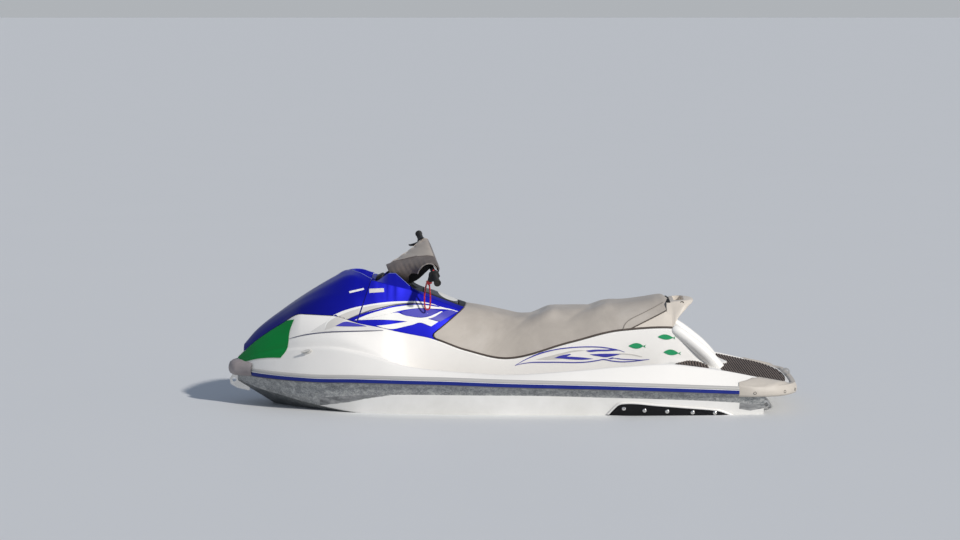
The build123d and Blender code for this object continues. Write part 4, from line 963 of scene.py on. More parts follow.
cowl = loft("cowl_shell", stations(910, 180, 10, COWL.x), cowl_half, [BLUE, BLACK], "hull", ["cowl"], angle=33)
COWL_FULL = world_tree([cowl])
plane_cut(cowl, SEAM, 0.0015, True)
plane_cut(cowl, SEAT_LINE, -0.003, False)
cut(cowl, drum("c7", 0.115, 0.215, -0.055))
cut(cowl, drum("c8", 0.036, 0.255, 0.195, 32))


def top_z(x):
    return CENTRE("tz", x)


def slab(name, xs, width, low, high, r, mats, body, replaces=()):
    """a panel that follows the cowl's top between two heights under it"""
    def sec(x):
        t = COWL("tz", x)
        edge = t + (COWL("wz", x) - t) * width / COWL("wy", x)
        return labelled([(0, t + low), (width, edge + low), (width, edge + high), (0, t + high)], [0, 1, r, 0], 6, [2, 1, 4])
    return loft(name, xs, sec, mats, body, replaces)


recess = slab("c9", [498, 470, 440, 400, 350, 292], 124, -28, 60, 0.5, [BLACK], None)
cut(cowl, recess)
cut(cowl, box_mesh("c10", (0.388, -0.117, 0.482), (0.491, 0.117, 0.70)))
dashcut = slab("c11", [562, 540, 520, 500], 132, -26, 60, 0.5, [BLACK], None)
cut(cowl, dashcut)
for p in cowl.data.polygons:
    c = p.center
    x = c.x * 1000
    if p.material_index == 0 and x < 566 and abs(c.y) < COWL("wy", max(x, 181)) / 1000 - 0.001 and c.z > (COWL("iz", max(x, 181)) - 60) / 1000:
        p.material_index = 1
    # the pocket's walls are bare black plastic
    rel = c - Vector((0.462, 0, 0.836))
    ax = Vector((-0.8660254, 0, 0.5))
    wz_ = COWL("wz", min(max(x, 181), 909)) / 1000
    if (rel - ax * rel.dot(ax)).length < 0.1155 and (c.z < wz_ - 0.016 or x < 640):
        p.material_index = 1
    if x < 664 and abs(c.y) < COWL("wy", max(x, 181)) / 1000 - 0.004 and c.z > (COWL("iz", max(x, 181)) - 60) / 1000 and (c.z < wz_ - 0.016 or x < 600):
        p.material_index = 1
if len(cowl.data.materials) < 2:
    cowl.data.materials.append(BLACK)
shade(cowl, 33)

# painted highlight: thin tubes of paler blue along the visor's rims and the wings' tops
for side, tag in ((1, "port"), (-1, "starboard")):
    tube("visor_rim_highlight_" + tag, [(x * MM, side * (HOOD("ry", x) - 1.0) * MM, (HOOD("rz", x) - 0.6) * MM) for x in range(902, 778, -6)], lambda q: 0.0016, [BLUE_RIM_HIGHLIGHT], "hood", seg=8)
    tube("wing_rim_highlight_" + tag, [(x * MM, side * (COWL("wy", x) - 0.4) * MM, (COWL("wz", x) - 1.0) * MM) for x in range(690, 568, -4)], lambda q: 0.0017, [BLUE_RIM_HIGHLIGHT], "hull", seg=8)

# a black sealing strip closes the joint between the hood and the cowl
gasket = loft("hood_seal", stations(910, 740, 10, COWL.x), cowl_half, [BLACK], "hull", (), angle=33)
plane_cut(gasket, SEAM, -0.0018, True)
plane_cut(gasket, SEAM, 0.0012, False)
gc = Vector((0.80, 0.0, 0.60))
for vv in gasket.data.vertices:
    k = 0.988 if vv.co.z > 0.3 else 1.0
    vv.co.y *= 0.990
    vv.co.z = gc.z + (vv.co.z - gc.z) * 0.985 - (0.001 if vv.co.z > 0.6 else 0.0)
console = slab("dash_panel", [562, 555, 540, 520, 505, 500], 132, -26, 0.6, 6, [BLACK], "hull", ["console"])
cut(console, drum("c12", 0.122, 0.215, -0.055))
shade(console, 35)
lid = slab("lid", [492, 489, 480, 465, 440, 400, 360, 325, 308, 301, 298], 118, -22, 1.0, 12, [BLACK_GLOSS], "glove_box_lid", ["glove_box_lid"])
m = lid.modifiers.new("round", "BEVEL")
m.width = 0.004
m.segments = 3
m.limit_method = "ANGLE"
m.angle_limit = math.radians(55)
apply_mods(lid)
shade(lid, 40)

# ------------------------------------------------------------------ seat and its tail
def seat_half(x, grow=0.0):
    fy, fz = foot(x, 3.0)
    my, mz = CENTRE("my", x), CENTRE("mz", x)
    xs = x - 45.0                      # the steps slant forward down the sides
    xs = max(min(xs, 570), -905)
    k = max(0.0, min(1.0, (150 - x) / 90.0)) * max(0.0, min(1.0, (x + 890) / 60.0))
    cy, cz, tz = CENTRE("cy", x), CENTRE("cz", x) * (1 - 0.5 * k) + CENTRE("cz", xs) * 0.5 * k, CENTRE("tz", x)
    cz = min(cz, tz - 4)
    sag = 5.0 * math.sin((x + 40) / 118.0) * k
    h = 9.0 / max(mz - fz, 20.0)
    P = [(0, fz), (fy - 2, fz), (fy + 1 + (my - fy) * h, fz + 9.0), (my + sag * 0.6 + grow, mz), (cy, cz), (0, tz)]
    return labelled(P, [0, 2, 1.2, 60, 62, 0], 8, [1, 1, 5, 4, 4])


# painted shadow: the lowest 9 mm of the sides and the underside take the dark tone, the shadow line under the overhang
seat = loft("seat_cushion", stations(570, -905, 11, CENTRE.x), seat_half, [SEAT, SEAT_PIPING_AND_SHADOW], "seat", ["seat"], zone=lambda k: 1 if k <= 1 else 0, angle=50)
front_loop = plane_cut(seat, SEAT_LINE, 0.003, True)
tail_cut = prism_xz("c13", [(-0.640, 0.437), (-0.960, 0.585), (-0.990, 0.30), (-0.640, 0.30)], -0.4, 0.4)
cut(seat, tail_cut)
# the front lower corners are rounded off
CORNER = Vector((0.4620, 0.4120))
UPW, BACK = Vector((-0.7891, 0.6143)), Vector((-0.943, -0.333))
CORNER_ARC = [(CORNER + UPW * 0.060) * (1 - t) ** 2 + CORNER * (2 * t * (1 - t)) + (CORNER + BACK * 0.068) * (t * t) for t in [k / 12.0 for k in range(13)]]
for y0, y1 in ((0.175, 0.36), (-0.36, -0.175)):
    cut(seat, prism_xz("c13b", [(q.x, q.y) for q in CORNER_ARC] + [(CORNER_ARC[-1].x, CORNER_ARC[-1].y - 0.04), (CORNER.x + 0.06, CORNER.y - 0.06), (CORNER.x + 0.06, CORNER.y + 0.02), (CORNER_ARC[0].x + 0.03, CORNER_ARC[0].y + 0.012)], y0, y1))
# and the cowl's blue side carries on round them
OUTC = -(UPW + BACK).normalized() * 0.0026
BELOW = [q + OUTC for q in [(CORNER + UPW * 0.052) * (1 - t) ** 2 + CORNER * (2 * t * (1 - t)) + (CORNER + BACK * 0.060) * (t * t) for t in [k / 10.0 for k in range(11)]]]
for y0, y1, tag in ((0.150, 0.36, "port"), (-0.36, -0.150, "starboard")):
    gusset = loft("cowl_corner_" + tag, stations(575, 360, 10, [x for x in COWL.x if 360 < x < 575]), cowl_half, [BLUE], "hull", (), angle=33)
    plane_cut(gusset, SEAT_LINE, -0.0026, True)
    cut(gusset, prism_xz("c13c", [(q.x, q.y) for q in BELOW] + [(BELOW[-1].x, BELOW[-1].y - 0.04), (CORNER.x + 0.07, CORNER.y - 0.06), (CORNER.x + 0.07, CORNER.y + 0.02), (BELOW[0].x + 0.03, BELOW[0].y + 0.012)], y0, y1), "INTERSECT")
    shade(gusset, 33)
# the tail's lowest strip and underside take the same painted shadow
tail = loft("seat_tail_piece", stations(-528, -905, 11), seat_half, [TAIL, SEAT_PIPING_AND_SHADOW], "seat", ["seat_tail"], zone=lambda k: 1 if k <= 1 else 0, angle=50)
cut(tail, prism_xz("c14", [(-0.640, 0.437), (-0.960, 0.585), (-0.990, 0.30), (-0.640, 0.30)], -0.4, 0.4), "INTERSECT")


def soften(ob, width, seg=3, angle=40, sh=45):
    m = ob.modifiers.new("round", "BEVEL")
    m.width = width
    m.segments = seg
    m.limit_method = "ANGLE"
    m.angle_limit = math.radians(angle)
    m.use_clamp_overlap = True
    apply_mods(ob)
    shade(ob, sh)


FOLDS = [((-0.225, 0.566), (-0.020, 0.440), 7.0, 1.0), ((-0.528, 0.597), (-0.300, 0.470), 6.0, 0.9)]


def fold_push(x, z):
    """a soft valley with a fuller roll behind it, along each slanting fold"""
    out = 0.0
    for (x0, z0), (x1, z1), amp, k in FOLDS:
        d = Vector((x1 - x0, z1 - z0))
        L = d.length
        d.normalize()
        n_ = Vector((d.y, -d.x))
        if n_.x > 0:
            n_ = -n_
        rel = Vector((x - x0, z - z0))
        s_ = rel.dot(d) / L
        q_ = rel.dot(n_) + 0.014 * math.sin(2.6 * s_)
        fade = max(0.0, min(1.0, (s_ + 0.12) / 0.15)) * max(0.0, 1.0 - s_) ** 0.8 if s_ < 1 else 0.0
        out += fade * amp * (-1.1 * math.exp(-((q_ + 0.004) / 0.013) ** 2) + 0.95 * math.exp(-((q_ - 0.034) / 0.026) ** 2))
    return out * MM


m_ = seat.modifiers.new("fine", "SUBSURF")
m_.subdivision_type = "SIMPLE"
m_.levels = 1
apply_mods(seat)
seat.data.update()
nrm_list = [v_.normal.copy() for v_ in seat.data.vertices]
for v_, nn_ in zip(seat.data.vertices, nrm_list):
    c_ = v_.co
    if -0.60 < c_.x < 0.26 and c_.z > 0.40 and nn_.z > -0.3:
        soft = 1.6 * math.sin(c_.x * 31.0 + 3.0 * abs(c_.y)) * math.sin(c_.z * 23.0 + 1.0) * MM * 0.6
        v_.co = c_ + nn_ * (fold_push(c_.x, c_.z + 0.10 * max(0.0, 0.14 - abs(c_.y))) + soft)
shade(seat, 50)
shade(tail, 50)
SEAT_TREE = world_tree([seat])
TAIL_TREE = world_tree([tail])


def side_point(tree, x, z, side):
    h = tree.ray_cast(Vector((x, side * 0.8, z)), Vector((0, -side, 0)))
    return h[0] if h[0] else None


def welt(name, tree, line, r, mat, body, n=60, lift=0.001):
    """a cord along a side-view line on both sides, for sewn seams and for painted shadow lines"""
    for side, tag in ((1, "port"), (-1, "starboard")):
        pts = []
        P = spline([(a, 0.0, b) for a, b in line], max(2, n // (len(line) - 1)))
        for x, _, z in P:
            h = side_point(tree, x, z, side)
            if h is not None:
                pts.append(h + Vector((0, side * lift, 0)))
        if len(pts) > 3:
            tube(name + "_" + tag, pts, r, [mat], body, seg=8)


# the dark cord round the front edge of the seat, from one side over the top to the other
loop = []
for k in range(-40, 41):
    q = k / 40.0
    (x0, z0), (x1, z1) = SEAT_LINE
    d = Vector((x1 - x0, 0, z1 - z0)).normalized()
    nrm = Vector((-d.z, 0, d.x))
    loop.append(q)
edge = {}
bmx = bmesh.new()
bmx.from_mesh(seat.data)
nn = Vector((z := (SEAT_LINE[1][1] - SEAT_LINE[0][1]), 0, -(SEAT_LINE[1][0] - SEAT_LINE[0][0]))).normalized()
if nn.x > 0:
    nn = -nn
co = Vector((SEAT_LINE[0][0], 0, SEAT_LINE[0][1])) + nn * 0.003
ring = [v.co.copy() for v in bmx.verts if abs((v.co - co).dot(nn)) < 2e-5]
bmx.free()
ring = [p for p in ring if p.z > 0.384 or abs(p.y) > 0.24]
ring.sort(key=lambda p: math.atan2(p.z - 0.42, p.y))
ring = [p for i, p in enumerate(ring) if i == 0 or (p - ring[i - 1]).length > 0.0015]
ring = [p for p in ring if not (abs(p.y) < 0.22 and p.z < 0.40) and not (abs(p.y) > 0.16 and p.z < CORNER_ARC[0].y)]
if len(ring) > 8:
    tube("seat_front_welt", [p - nn * 0.001 for p in ring], 0.0028, [SEAT_PIPING_AND_SHADOW], "seat", seg=8)
for side, tag in ((1, "port"), (-1, "starboard")):
    pts = []
    for q in CORNER_ARC:
        h = side_point(SEAT_TREE, q.x - 0.003, q.y + 0.002, side)
        if h is not None and abs(h.y) > 0.18:
            pts.append(h)
    if len(pts) > 3:
        tube("seat_corner_welt_" + tag, pts, 0.0028, [SEAT_PIPING_AND_SHADOW], "seat", seg=8)
welt("seat_seam", SEAT_TREE, [(-0.628, 0.452), (-0.640, 0.478), (-0.672, 0.505), (-0.76, 0.545), (-0.86, 0.590)], 0.0028, THREAD, "seat", 80)
# painted shadow: a dark cord along the line between the cushion and the tail
welt("seat_tail_shadow_line", SEAT_TREE, [(-0.640, 0.4405), (-0.76, 0.4960), (-0.86, 0.5422), (-0.902, 0.5616)], 0.0038, SEAT_PIPING_AND_SHADOW, "seat", 60)

# ------------------------------------------------------------------ grab handle behind the seat
GRAB = Table("x by bz my mz cy cz tz", [
    (-878, 238, 449, 197, 530, 150, 592, 603), (-904, 237, 451, 195, 530, 150, 595, 606), (-914, 232, 460, 194, 533, 150, 597, 608), (-924, 224, 480, 193, 539, 150, 598, 610),
    (-937, 211, 503, 190, 547, 150, 599, 611), (-960, 195, 530, 183, 561, 147, 601, 612), (-985, 171, 553, 167, 576, 134, 602, 612), (-1005, 137, 571, 135, 587, 111, 602, 610),
    (-1026, 95, 583, 94, 592, 79, 600, 606), (-1036, 48, 591, 47, 595, 38, 598, 600)])


def grab_half(x):
    by, bz, my, mz, cy, cz, tz = (GRAB(c, x) for c in "by bz my mz cy cz tz".split())
    return labelled([(0, bz), (by, bz), (my, mz), (cy, cz), (0, tz)], [0, 9, 30, 9, 0], 6, [1, 2, 3, 3])


handle = loft("grab_rail", stations(-878, -1036, 7, GRAB.x), grab_half, [TAIL], None, angle=45)


def round_rect(cx, cy, hx, hy, r, n=5):
    out = []
    for sx, sy, a0 in ((1, 1, 0), (-1, 1, 90), (-1, -1, 180), (1, -1, 270)):
        for k in range(n + 1):
            a = math.radians(a0 + 90 * k / n)
            out.append((cx + sx * (hx - r) + r * math.cos(a), cy + sy * (hy - r) + r * math.sin(a)))
    return out


cut(handle, prism_xy("c16", round_rect(-0.950, 0, 0.029, 0.118, 0.022), 0.40, 0.70))
for p in handle.data.polygons:
    p.material_index = 0
soften(handle, 0.004, 3, 50, 50)
cut(handle, prism_xz("c17", [(-0.860, 0.590), (-0.899, 0.590), (-0.906, 0.640), (-0.860, 0.640)], -0.3, 0.3))
GRAB_TREE = world_tree([handle])
# painted shade: a near-black block fills the notch between the seat's back and the handle
gap = prism_xz("seat_back_gap", [(-0.880, 0.560), (-0.880, 0.594), (-0.886, 0.5985), (-0.897, 0.6000), (-0.901, 0.594), (-0.901, 0.560)], -0.150, 0.150)
gap.data.materials.append(HOLLOW_SHADE)
soften(gap, 0.002, 2, 40, 50)
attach(gap, "seat")
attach(handle, "seat")
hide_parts("grab_handle")
# painted shade: a near-black oval recess in each side of the handle
for side in (1, -1):
    c0 = side_point(GRAB_TREE, -0.966, 0.592, side)
    rws = [[c0 + Vector((math.cos(q) * r * 1.2, side * h, math.sin(q) * r * 0.75)) for q in np.linspace(0, 2 * math.pi, 17)[:-1]] for r, h in ((0.0085, -0.006), (0.0085, 0.0022), (0.0065, 0.0022), (0.0055, -0.004), (0.0001, -0.004))]
    v, f, c = grid(rws, closed=True)
    make("handle_slot_" + ("port" if side > 0 else "starboard"), v, f, [HOLLOW_SHADE], "seat", ())

# ------------------------------------------------------------------ pedestal buttresses beside the boarding platform
for side, tag in ((1, "port"), (-1, "starboard")):
    pts = [(-0.914, side * 0.226, 0.446), (-0.937, side * 0.236, 0.435), (-0.998, side * 0.245, 0.391), (-1.056, side * 0.252, 0.343), (-1.104, side * 0.257, 0.300), (-1.142, side * 0.262, 0.259), (-1.166, side * 0.266, 0.228)]
    tube("buttress_" + tag, spline(pts, 8), lambda q: 0.029 + 0.008 * min(1.0, q * 1.8), [WHITE_SOFT], "hull", seg=24)

# ------------------------------------------------------------------ mats with moulded ribs
def ribbed(name, xs_range, left, right, body, replaces, pitch=0.0158, climb=None):
    xs = []
    x = xs_range[0]
    while x > xs_range[1]:
        for dx, h in ((0.0, 0.0022), (0.0022, 0.0050), (0.0100, 0.0050), (0.0122, 0.0022)):
            if x - dx > xs_range[1]:
                xs.append((x - dx, h))
        x -= pitch
    rows = []
    for x, h in xs:
        a, b = left(x), right(x)
        row = []
        for k in range(9):
            y = a + (b - a) * k / 8.0
            g = drop(x, y)
            if g is None:
                g = Vector((x, y, rows[-1][k + 1][2] if rows else 0.1))
            row.append((x, y, g.z + h + (climb(x, k / 8.0) if climb else 0.0)))
        row = [(x, row[0][1], row[0][2] - 0.012)] + row + [(x, row[-1][1], row[-1][2] - 0.012)]
        rows.append(row)
    v, f, c = grid(rows)
    # rib tops take the mat; rib sides and grooves take the near-black copy as painted shade
    return make(name, v, f, [MAT, MAT_GROOVE_SHADE], body, replaces, [0 if i % 4 == 1 else 1 for i, j in c], smooth=True, angle=25)


def side_in(x):
    """the side mat's inner edge, which tapers in from the front, in mm"""
    out = DECK("oy", x * 1000) - 16
    wide = out - (DECK("iy", x * 1000) + 12 + max(0, (-900 - x * 1000)) * 0.08)
    return out - wide * min(1.0, 0.14 + 1.9 * max(0.0, (-0.884 - x) / 0.221)) ** 0.8


for side, tag in ((1, "port"), (-1, "starboard")):
    ribbed("footwell_mat_" + tag, (0.515, -0.835), lambda x: side * (DECK("iy", x * 1000) + 14) * MM, lambda x: side * (DECK("oy", x * 1000) - 14) * MM, "hull", ["footwell_mats"])
    ribbed("side_mat_" + tag, (-0.884, -1.105), lambda x: side * side_in(x) * MM, lambda x: side * (DECK("oy", x * 1000) - 16) * MM, "hull", ["footwell_mats"], climb=lambda x, q: 0.013 * max(0.0, 1.0 - 2.2 * q) * math.sin(math.pi * min(1.0, max(0.0, (-0.884 - x) / 0.221)) ** 1.7))
MAT_EDGE = [(-1.150, 0.404), (-1.30, 0.403), (-1.42, 0.398), (-1.462, 0.384)] + arc3((-1.462, 0.384), (-1.515, 0.318), (-1.545, 0.215), 8) + arc3((-1.545, 0.215), (-1.556, 0.10), (-1.5585, 0.0), 6)


def mat_w(x):
    P = MAT_EDGE
    for a, b in zip(P, P[1:]):
        if b[0] <= x <= a[0]:
            t = (a[0] - x) / max(a[0] - b[0], 1e-9)
            return a[1] + t * (b[1] - a[1])
    return 0.01


ribbed("platform_mat_ribbed", (-1.1745, -1.5575), lambda x: -mat_w(x), lambda x: mat_w(x), "hull", ["platform_mat"])

# the pedestal's foot runs out in a low pointed flare over the front of the mat
flare = prism_xy("pedestal_flare", [(-1.120, 0.262), (-1.158, 0.250), (-1.172, 0.205), (-1.205, 0.085), (-1.236, 0.0), (-1.205, -0.085), (-1.172, -0.205), (-1.158, -0.250), (-1.120, -0.262)], 0.190, 0.25)
for vv in flare.data.vertices:
    if vv.co.z > 0.24:
        vv.co.z = 0.2615 + (vv.co.x + 1.120) * 0.19
flare.data.materials.append(WHITE_SOFT)
soften(flare, 0.004, 3, 30, 45)
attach(flare, "hull")

# ------------------------------------------------------------------ handlebars: everything in the turned bars' own axes
REST = math.radians(17.0)
TILT = math.radians(60.0)
BX = Vector((-math.cos(TILT) * math.sin(REST), math.cos(REST), -math.sin(TILT) * math.sin(REST)))
BZ = Vector((-math.sin(TILT), 0, math.cos(TILT)))
BY = BZ.cross(BX)
STEER = Vector((0.462, 0, 0.836))


def bars(t, y, n):
    """mm down the axis, to port and across"""
    return STEER + (BX * y - BY * n - BZ * t) * MM


COVER = Table("t w lo hi", [(238, 46, 58, 74), (226, 62, 40, 76), (206, 79, 4, 77), (190, 90, -50, 76.5), (160, 104, -64, 74), (120, 125, -64, 71), (85, 158, -58, 66),
                            (50, 199, -50, 61), (20, 246, -43, 54), (0, 266, -37, 48), (-18, 268, -28, 40), (-30, 252, -18, 29)])


def cover_half(t, side):
    w, lo, hi = COVER("w", t), COVER("lo", t), COVER("hi", t)
    ridge = (88 - 0.60 * t) * side
    ridge = max(min(ridge, 0.75 * w), -0.75 * w)
    wob = 1.8 * math.sin(t * 0.105 + side) + 1.2 * math.sin(t * 0.23 + 2.1 * side)
    P = [(0.0, lo + 2), (0.55 * w, lo + 1), (0.86 * w, lo + 8), (w, 0.5 * (lo + hi) + wob), (0.86 * w, hi - 15 + wob)]
    if side > 0:
        P += [(max(ridge, 0) * 1.0 + 0.02 * w, hi - 1.5)]
    else:
        P += [(0.45 * w, hi - 5)]
    return [(side * a, b) for a, b in P]


def cover_ring(t):
    a = cover_half(t, 1)
    b = cover_half(t, -1)
    r = (88 - 0.60 * t)
    ring = a + [(min(r, 0) if r < 0 else 0.0, COVER("hi", t) - 0.3)] + list(reversed(b))[:-1]
    # soft corners: one pass of corner cutting twice
    P = [np.array(p) for p in ring]
    for q in (0.22, 0.25):
        Q = []
        n = len(P)
        for i in range(n):
            u, v = P[i], P[(i + 1) % n]
            Q += [u * (1 - q) + v * q, u * q + v * (1 - q)]
        P = Q
    return P


cover_rows, cover_info = [], []
ts = list(np.linspace(238, -30, 68))
for t in ts:
    ring = cover_ring(t)
    row, info = [], []
    for y, n in ring:
        # shallow folds that fan out from the hem towards the grips
        k = math.exp(-((abs(y) - 0.72 * COVER("w", t)) / 50.0) ** 2)
        f = 1.6 * k * math.sin(0.11 * t + 0.02 * abs(y) * math.copysign(1, y) + 1.3) + 0.7 * math.sin(0.045 * y + 0.08 * t)
        row.append(bars(t, y, n + (f if n > 20 else 0.4 * f)))
        info.append((t, y, n))
    cover_rows.append(row)
    cover_info.append(info)
v, f, c = grid(cover_rows, closed=True, caps=True)
# painted light: the upper facet takes the sunlit tone, the lower facet and the ends take the shaded tone
zones = []
nring = len(cover_rows[0])
for i, j in c:
    if j < 0:
        zones.append(1)
        continue
    t, y, n = cover_info[i][j]
    edge_y = 88 - 0.60 * t
    sunlit_facet = n > 0.25 * COVER("hi", t) and y < edge_y
    zones.append(0 if sunlit_facet else 1)
cover = make("handlebar_cover_cloth", v, f, [COVER_SUNLIT, COVER_SHADED, HOLLOW_SHADE], "handlebars", ["handlebar_cover"], mat_index=zones, angle=60)
COVER_TREE = world_tree([cover])


def bars_prism(name, outline, y0, y1):
    """a prism along the bars from an outline of (t, n)"""
    m = len(outline)
    vs = [bars(t, y0, n) for t, n in outline] + [bars(t, y1, n) for t, n in outline]
    fs = [tuple(range(m)), tuple(range(2 * m - 1, m - 1, -1))] + [(i, (i + 1) % m, m + (i + 1) % m, m + i) for i in range(m)]
    return make(name, vs, fs, [], None, smooth=False)


def ellipse(t0, n0, a, b, k=32, tilt=0.0):
    out = []
    for i in range(k):
        q = 2 * math.pi * i / k
        x, y = a * math.cos(q), b * math.sin(q)
        out.append((t0 + x * math.cos(tilt) - y * math.sin(tilt), n0 + x * math.sin(tilt) + y * math.cos(tilt)))
    return out


def flowing_open(P, n=5):
    return [(p[0], p[1]) for p in spline([(a, b, 0.0) for a, b in P], n)]


# the sleeves' openings round the grips
for side, tag in ((1, "port"), (-1, "starboard")):
    ell = ellipse(12, 4, 38, 27, 28, -0.25)
    rim = []
    for t, n in ell:
        h = COVER_TREE.ray_cast(bars(t, side * 400, n), -BX * side)
        if h[0] is not None and h[3] < 0.30:
            rim.append(h[0] + BX * side * 0.0012)
    cut(cover, bars_prism("c20", ell, side * 150, side * 330))
    # the starboard sleeve gets a rim cord in the sunlit tone: a painted highlight
    if len(rim) > 8 and side < 0:
        tube("sleeve_rim_" + tag, spline([tuple(p) for p in rim], 3, closed=True), 0.0030, [COVER_SUNLIT], "handlebars", closed=True, seg=8)
# the cloth gapes round the port grip: cut back along a slanted outline
GAPE = [(408.4, 288.0), (408.8, 276.0), (411.5, 273.4), (417.8, 273.6), (419.3, 270.2), (422.6, 266.4), (427.5, 264.0), (432.5, 264.6), (436.4, 268.6), (442.0, 280.0), (440.0, 290.0)]
for side in (1,):
    keep_me = cover.data.copy()
    full = sum(p.area for p in keep_me.polygons)
    for y_far in (0.035, 0.05, 0.07, 0.09, 0.11, 0.125):
        vs = []
        for y_ in (0.36, y_far):
            for u_, v_ in GAPE:
                d = pixel_ray(u_, v_)
                p = CAM + d * ((y_ - CAM.y) / d.y)
                if side < 0:
                    rel = p - STEER
                    p = STEER + rel - BX * 2 * rel.dot(BX)
                vs.append(p)
        m = len(GAPE)
        fs = [tuple(range(m)), tuple(range(2 * m - 1, m - 1, -1))] + [(i, (i + 1) % m, m + (i + 1) % m, m + i) for i in range(m)]
        cut(cover, make("c21", vs, fs, [], None, smooth=False))
        if sum(p.area for p in cover.data.polygons) > 0.7 * full and len(cover.data.polygons) > 0.6 * len(keep_me.polygons):
            break
        cover.data = keep_me.copy()
    # the hem round the gape is a cord in the sunlit tone: a painted highlight along the rolled edge
    rim = []
    for u_, v_ in flowing_open(GAPE[3:9]):
        h = COVER_TREE.ray_cast(CAM, pixel_ray(u_, v_))
        if h[0] is not None:
            q_ = h[0] + h[1] * 0.0010
            if side < 0:
                rel = q_ - STEER
                q_ = STEER + rel - BX * 2 * rel.dot(BX)
            rim.append(q_)
    if len(rim) > 4:
        tube("cover_hem_" + ("port" if side > 0 else "starboard"), rim, 0.0034, [COVER_SUNLIT], "handlebars", seg=8)
OLD_TREE = COVER_TREE
# painted shade: the cloth's cut faces inside the gape and round the sleeve openings take the near-black hollow material
for p in cover.data.polygons:
    near_p = OLD_TREE.find_nearest(p.center)
    if near_p[0] is not None and near_p[3] > 0.0015:
        p.material_index = 2
for p in cover.data.polygons:
    rel = p.center - STEER
    y, n, t = rel.dot(BX) * 1000, -rel.dot(BY) * 1000, -rel.dot(BZ) * 1000
    if abs(y) > 140 and ((t - 12) / 37.2) ** 2 + ((n - 4) / 27) ** 2 < 0.93:
        p.material_index = 2
shade(cover, 60)
# sewn cords along the cover's folds, the fold cord in the cloth's shaded tone and the front cord in its sunlit tone
for name, path in (("fold", [(t, 88 - 0.60 * t) for t in (-24, 0, 30, 60, 95, 130, 165, 195)]), ("front", [(t, -0.70 * COVER("w", t)) for t in (215, 190, 160, 130, 100, 70, 40, 10, -15)])):
    pts = []
    for t, y in path:
        h = COVER_TREE.ray_cast(bars(t, y, 200), BY)
        if h[0] is not None:
            pts.append(h[0] + h[1] * 0.0006)
    if len(pts) > 3:
        tube("cover_seam_" + name, spline([tuple(p) for p in pts], 6), 0.0019, [COVER_SHADED if name == "fold" else COVER_SUNLIT], "handlebars", seg=8)


def turned(name, y_profile, mats, body, replaces=(), seg=40, t0=10.0, closed_end=True, angle=35):
    """a turned piece about the bars' axis from (y, radius) in mm"""
    rows = []
    for y, r in y_profile:
        rows.append([bars(t0 + r * math.cos(q), y, r * math.sin(q)) for q in np.linspace(0, 2 * math.pi, seg + 1)[:-1]])
    v, f, c = grid(rows, closed=True, caps=closed_end)
    return make(name, v, f, mats, body, replaces, angle=angle)


for side, tag in ((1, "port"), (-1, "starboard")):
    prof = [(296, 14.0), (296, 18.6), (300, 19.4), (303, 19.2), (304, 16.6)]
    y = 306.0
    while y < 404:
        prof += [(y, 16.4), (y + 0.8, 17.3), (y + 3.2, 17.3), (y + 4.0, 16.4)]
        y += 5.2
    prof += [(408, 16.6), (409.6, 19.2), (412, 20.2), (416, 20.2), (417.8, 18.6), (418, 13.5), (416.2, 12.5), (416.0, 5.0), (417.2, 3.6), (417.4, 0.05)]
    turned("grip_" + tag, [(side * a, b) for a, b in prof], [GRIP], "handlebars", ["grips"] if side > 0 else ())

# throttle lever on the starboard side
turned("throttle_clamp", [(-274, 13.8), (-274, 22.5), (-275.5, 24), (-292.5, 24), (-294, 22.5), (-294, 13.8)], [BLACK], "handlebars", ["throttle_lever"])
lever_pts = spline([(-279, 20, 2), (-286, 38, 3), (-299, 54, 2), (-315, 65, 0), (-332, 73, -3), (-346, 77, -5)], 6)
rows = []
for i, (y, d, n) in enumerate(lever_pts):
    q = i / (len(lever_pts) - 1.0)
    wn, wt = 9.5 - 3.5 * q, 6.5 - 2.4 * q
    if i in (0, len(lever_pts) - 1):
        wn, wt = wn * 0.7, wt * 0.6
    rows.append([bars(10 + d + wt * math.cos(a), y, n + wn * math.sin(a)) for a in np.linspace(0, 2 * math.pi, 17)[:-1]])
v, f, c = grid(rows, closed=True, caps=True)
make("throttle_blade", v, f, [BLACK], "handlebars", ())

# switch housing with its two buttons, and the lanyard's clip
hous = bars_prism("switch_body", [(10 - a, b) for a, b in ((24, -22), (28, 0), (22, 22), (2, 29), (-22, 24), (-34, 6), (-46, -6), (-46, -20), (-30, -26), (-6, -31))], 274, 296)
hous.data.materials.append(BLACK)
soften(hous, 0.004, 3, 25, 50)
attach(hous, "handlebars")
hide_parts("switch_housing")
for k, (t, n, mat) in enumerate(((2.0, 27.0, RED), (24.0, 24.5, BLACK_GLOSS))):
    rows = [[bars(t + r * math.cos(q), 285 + r * math.sin(q), n + h) for q in np.linspace(0, 2 * math.pi, 25)[:-1]] for r, h in ((5.2, -6), (5.2, 2.2), (4.6, 3.2), (3.6, 3.6), (0.02, 3.7))]
    v, f, c = grid(rows, closed=True)
    make("switch_button_%d" % (k + 1), v, f, [mat], "handlebars", ())
clip = bars_prism("clip_body", [(42, -34), (70, -34), (70, -8), (42, -8)], 276.5, 293.5)
clip.data.materials.append(RED)
soften(clip, 0.0045, 4, 25, 50)
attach(clip, "handlebars")
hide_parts("lanyard_clip")
rows = [[bars(56 + r * math.cos(q), 276.5 + 17 + h, -21 + r * math.sin(q)) for q in np.linspace(0, 2 * math.pi, 25)[:-1]] for r, h in ((7.5, -3), (7.5, 0.3), (6.6, 1.1), (4.0, 1.1), (3.4, 0.3), (0.02, 0.3))]
v, f, c = grid(rows, closed=True)
make("clip_cap", v, f, [RED], "handlebars", ())

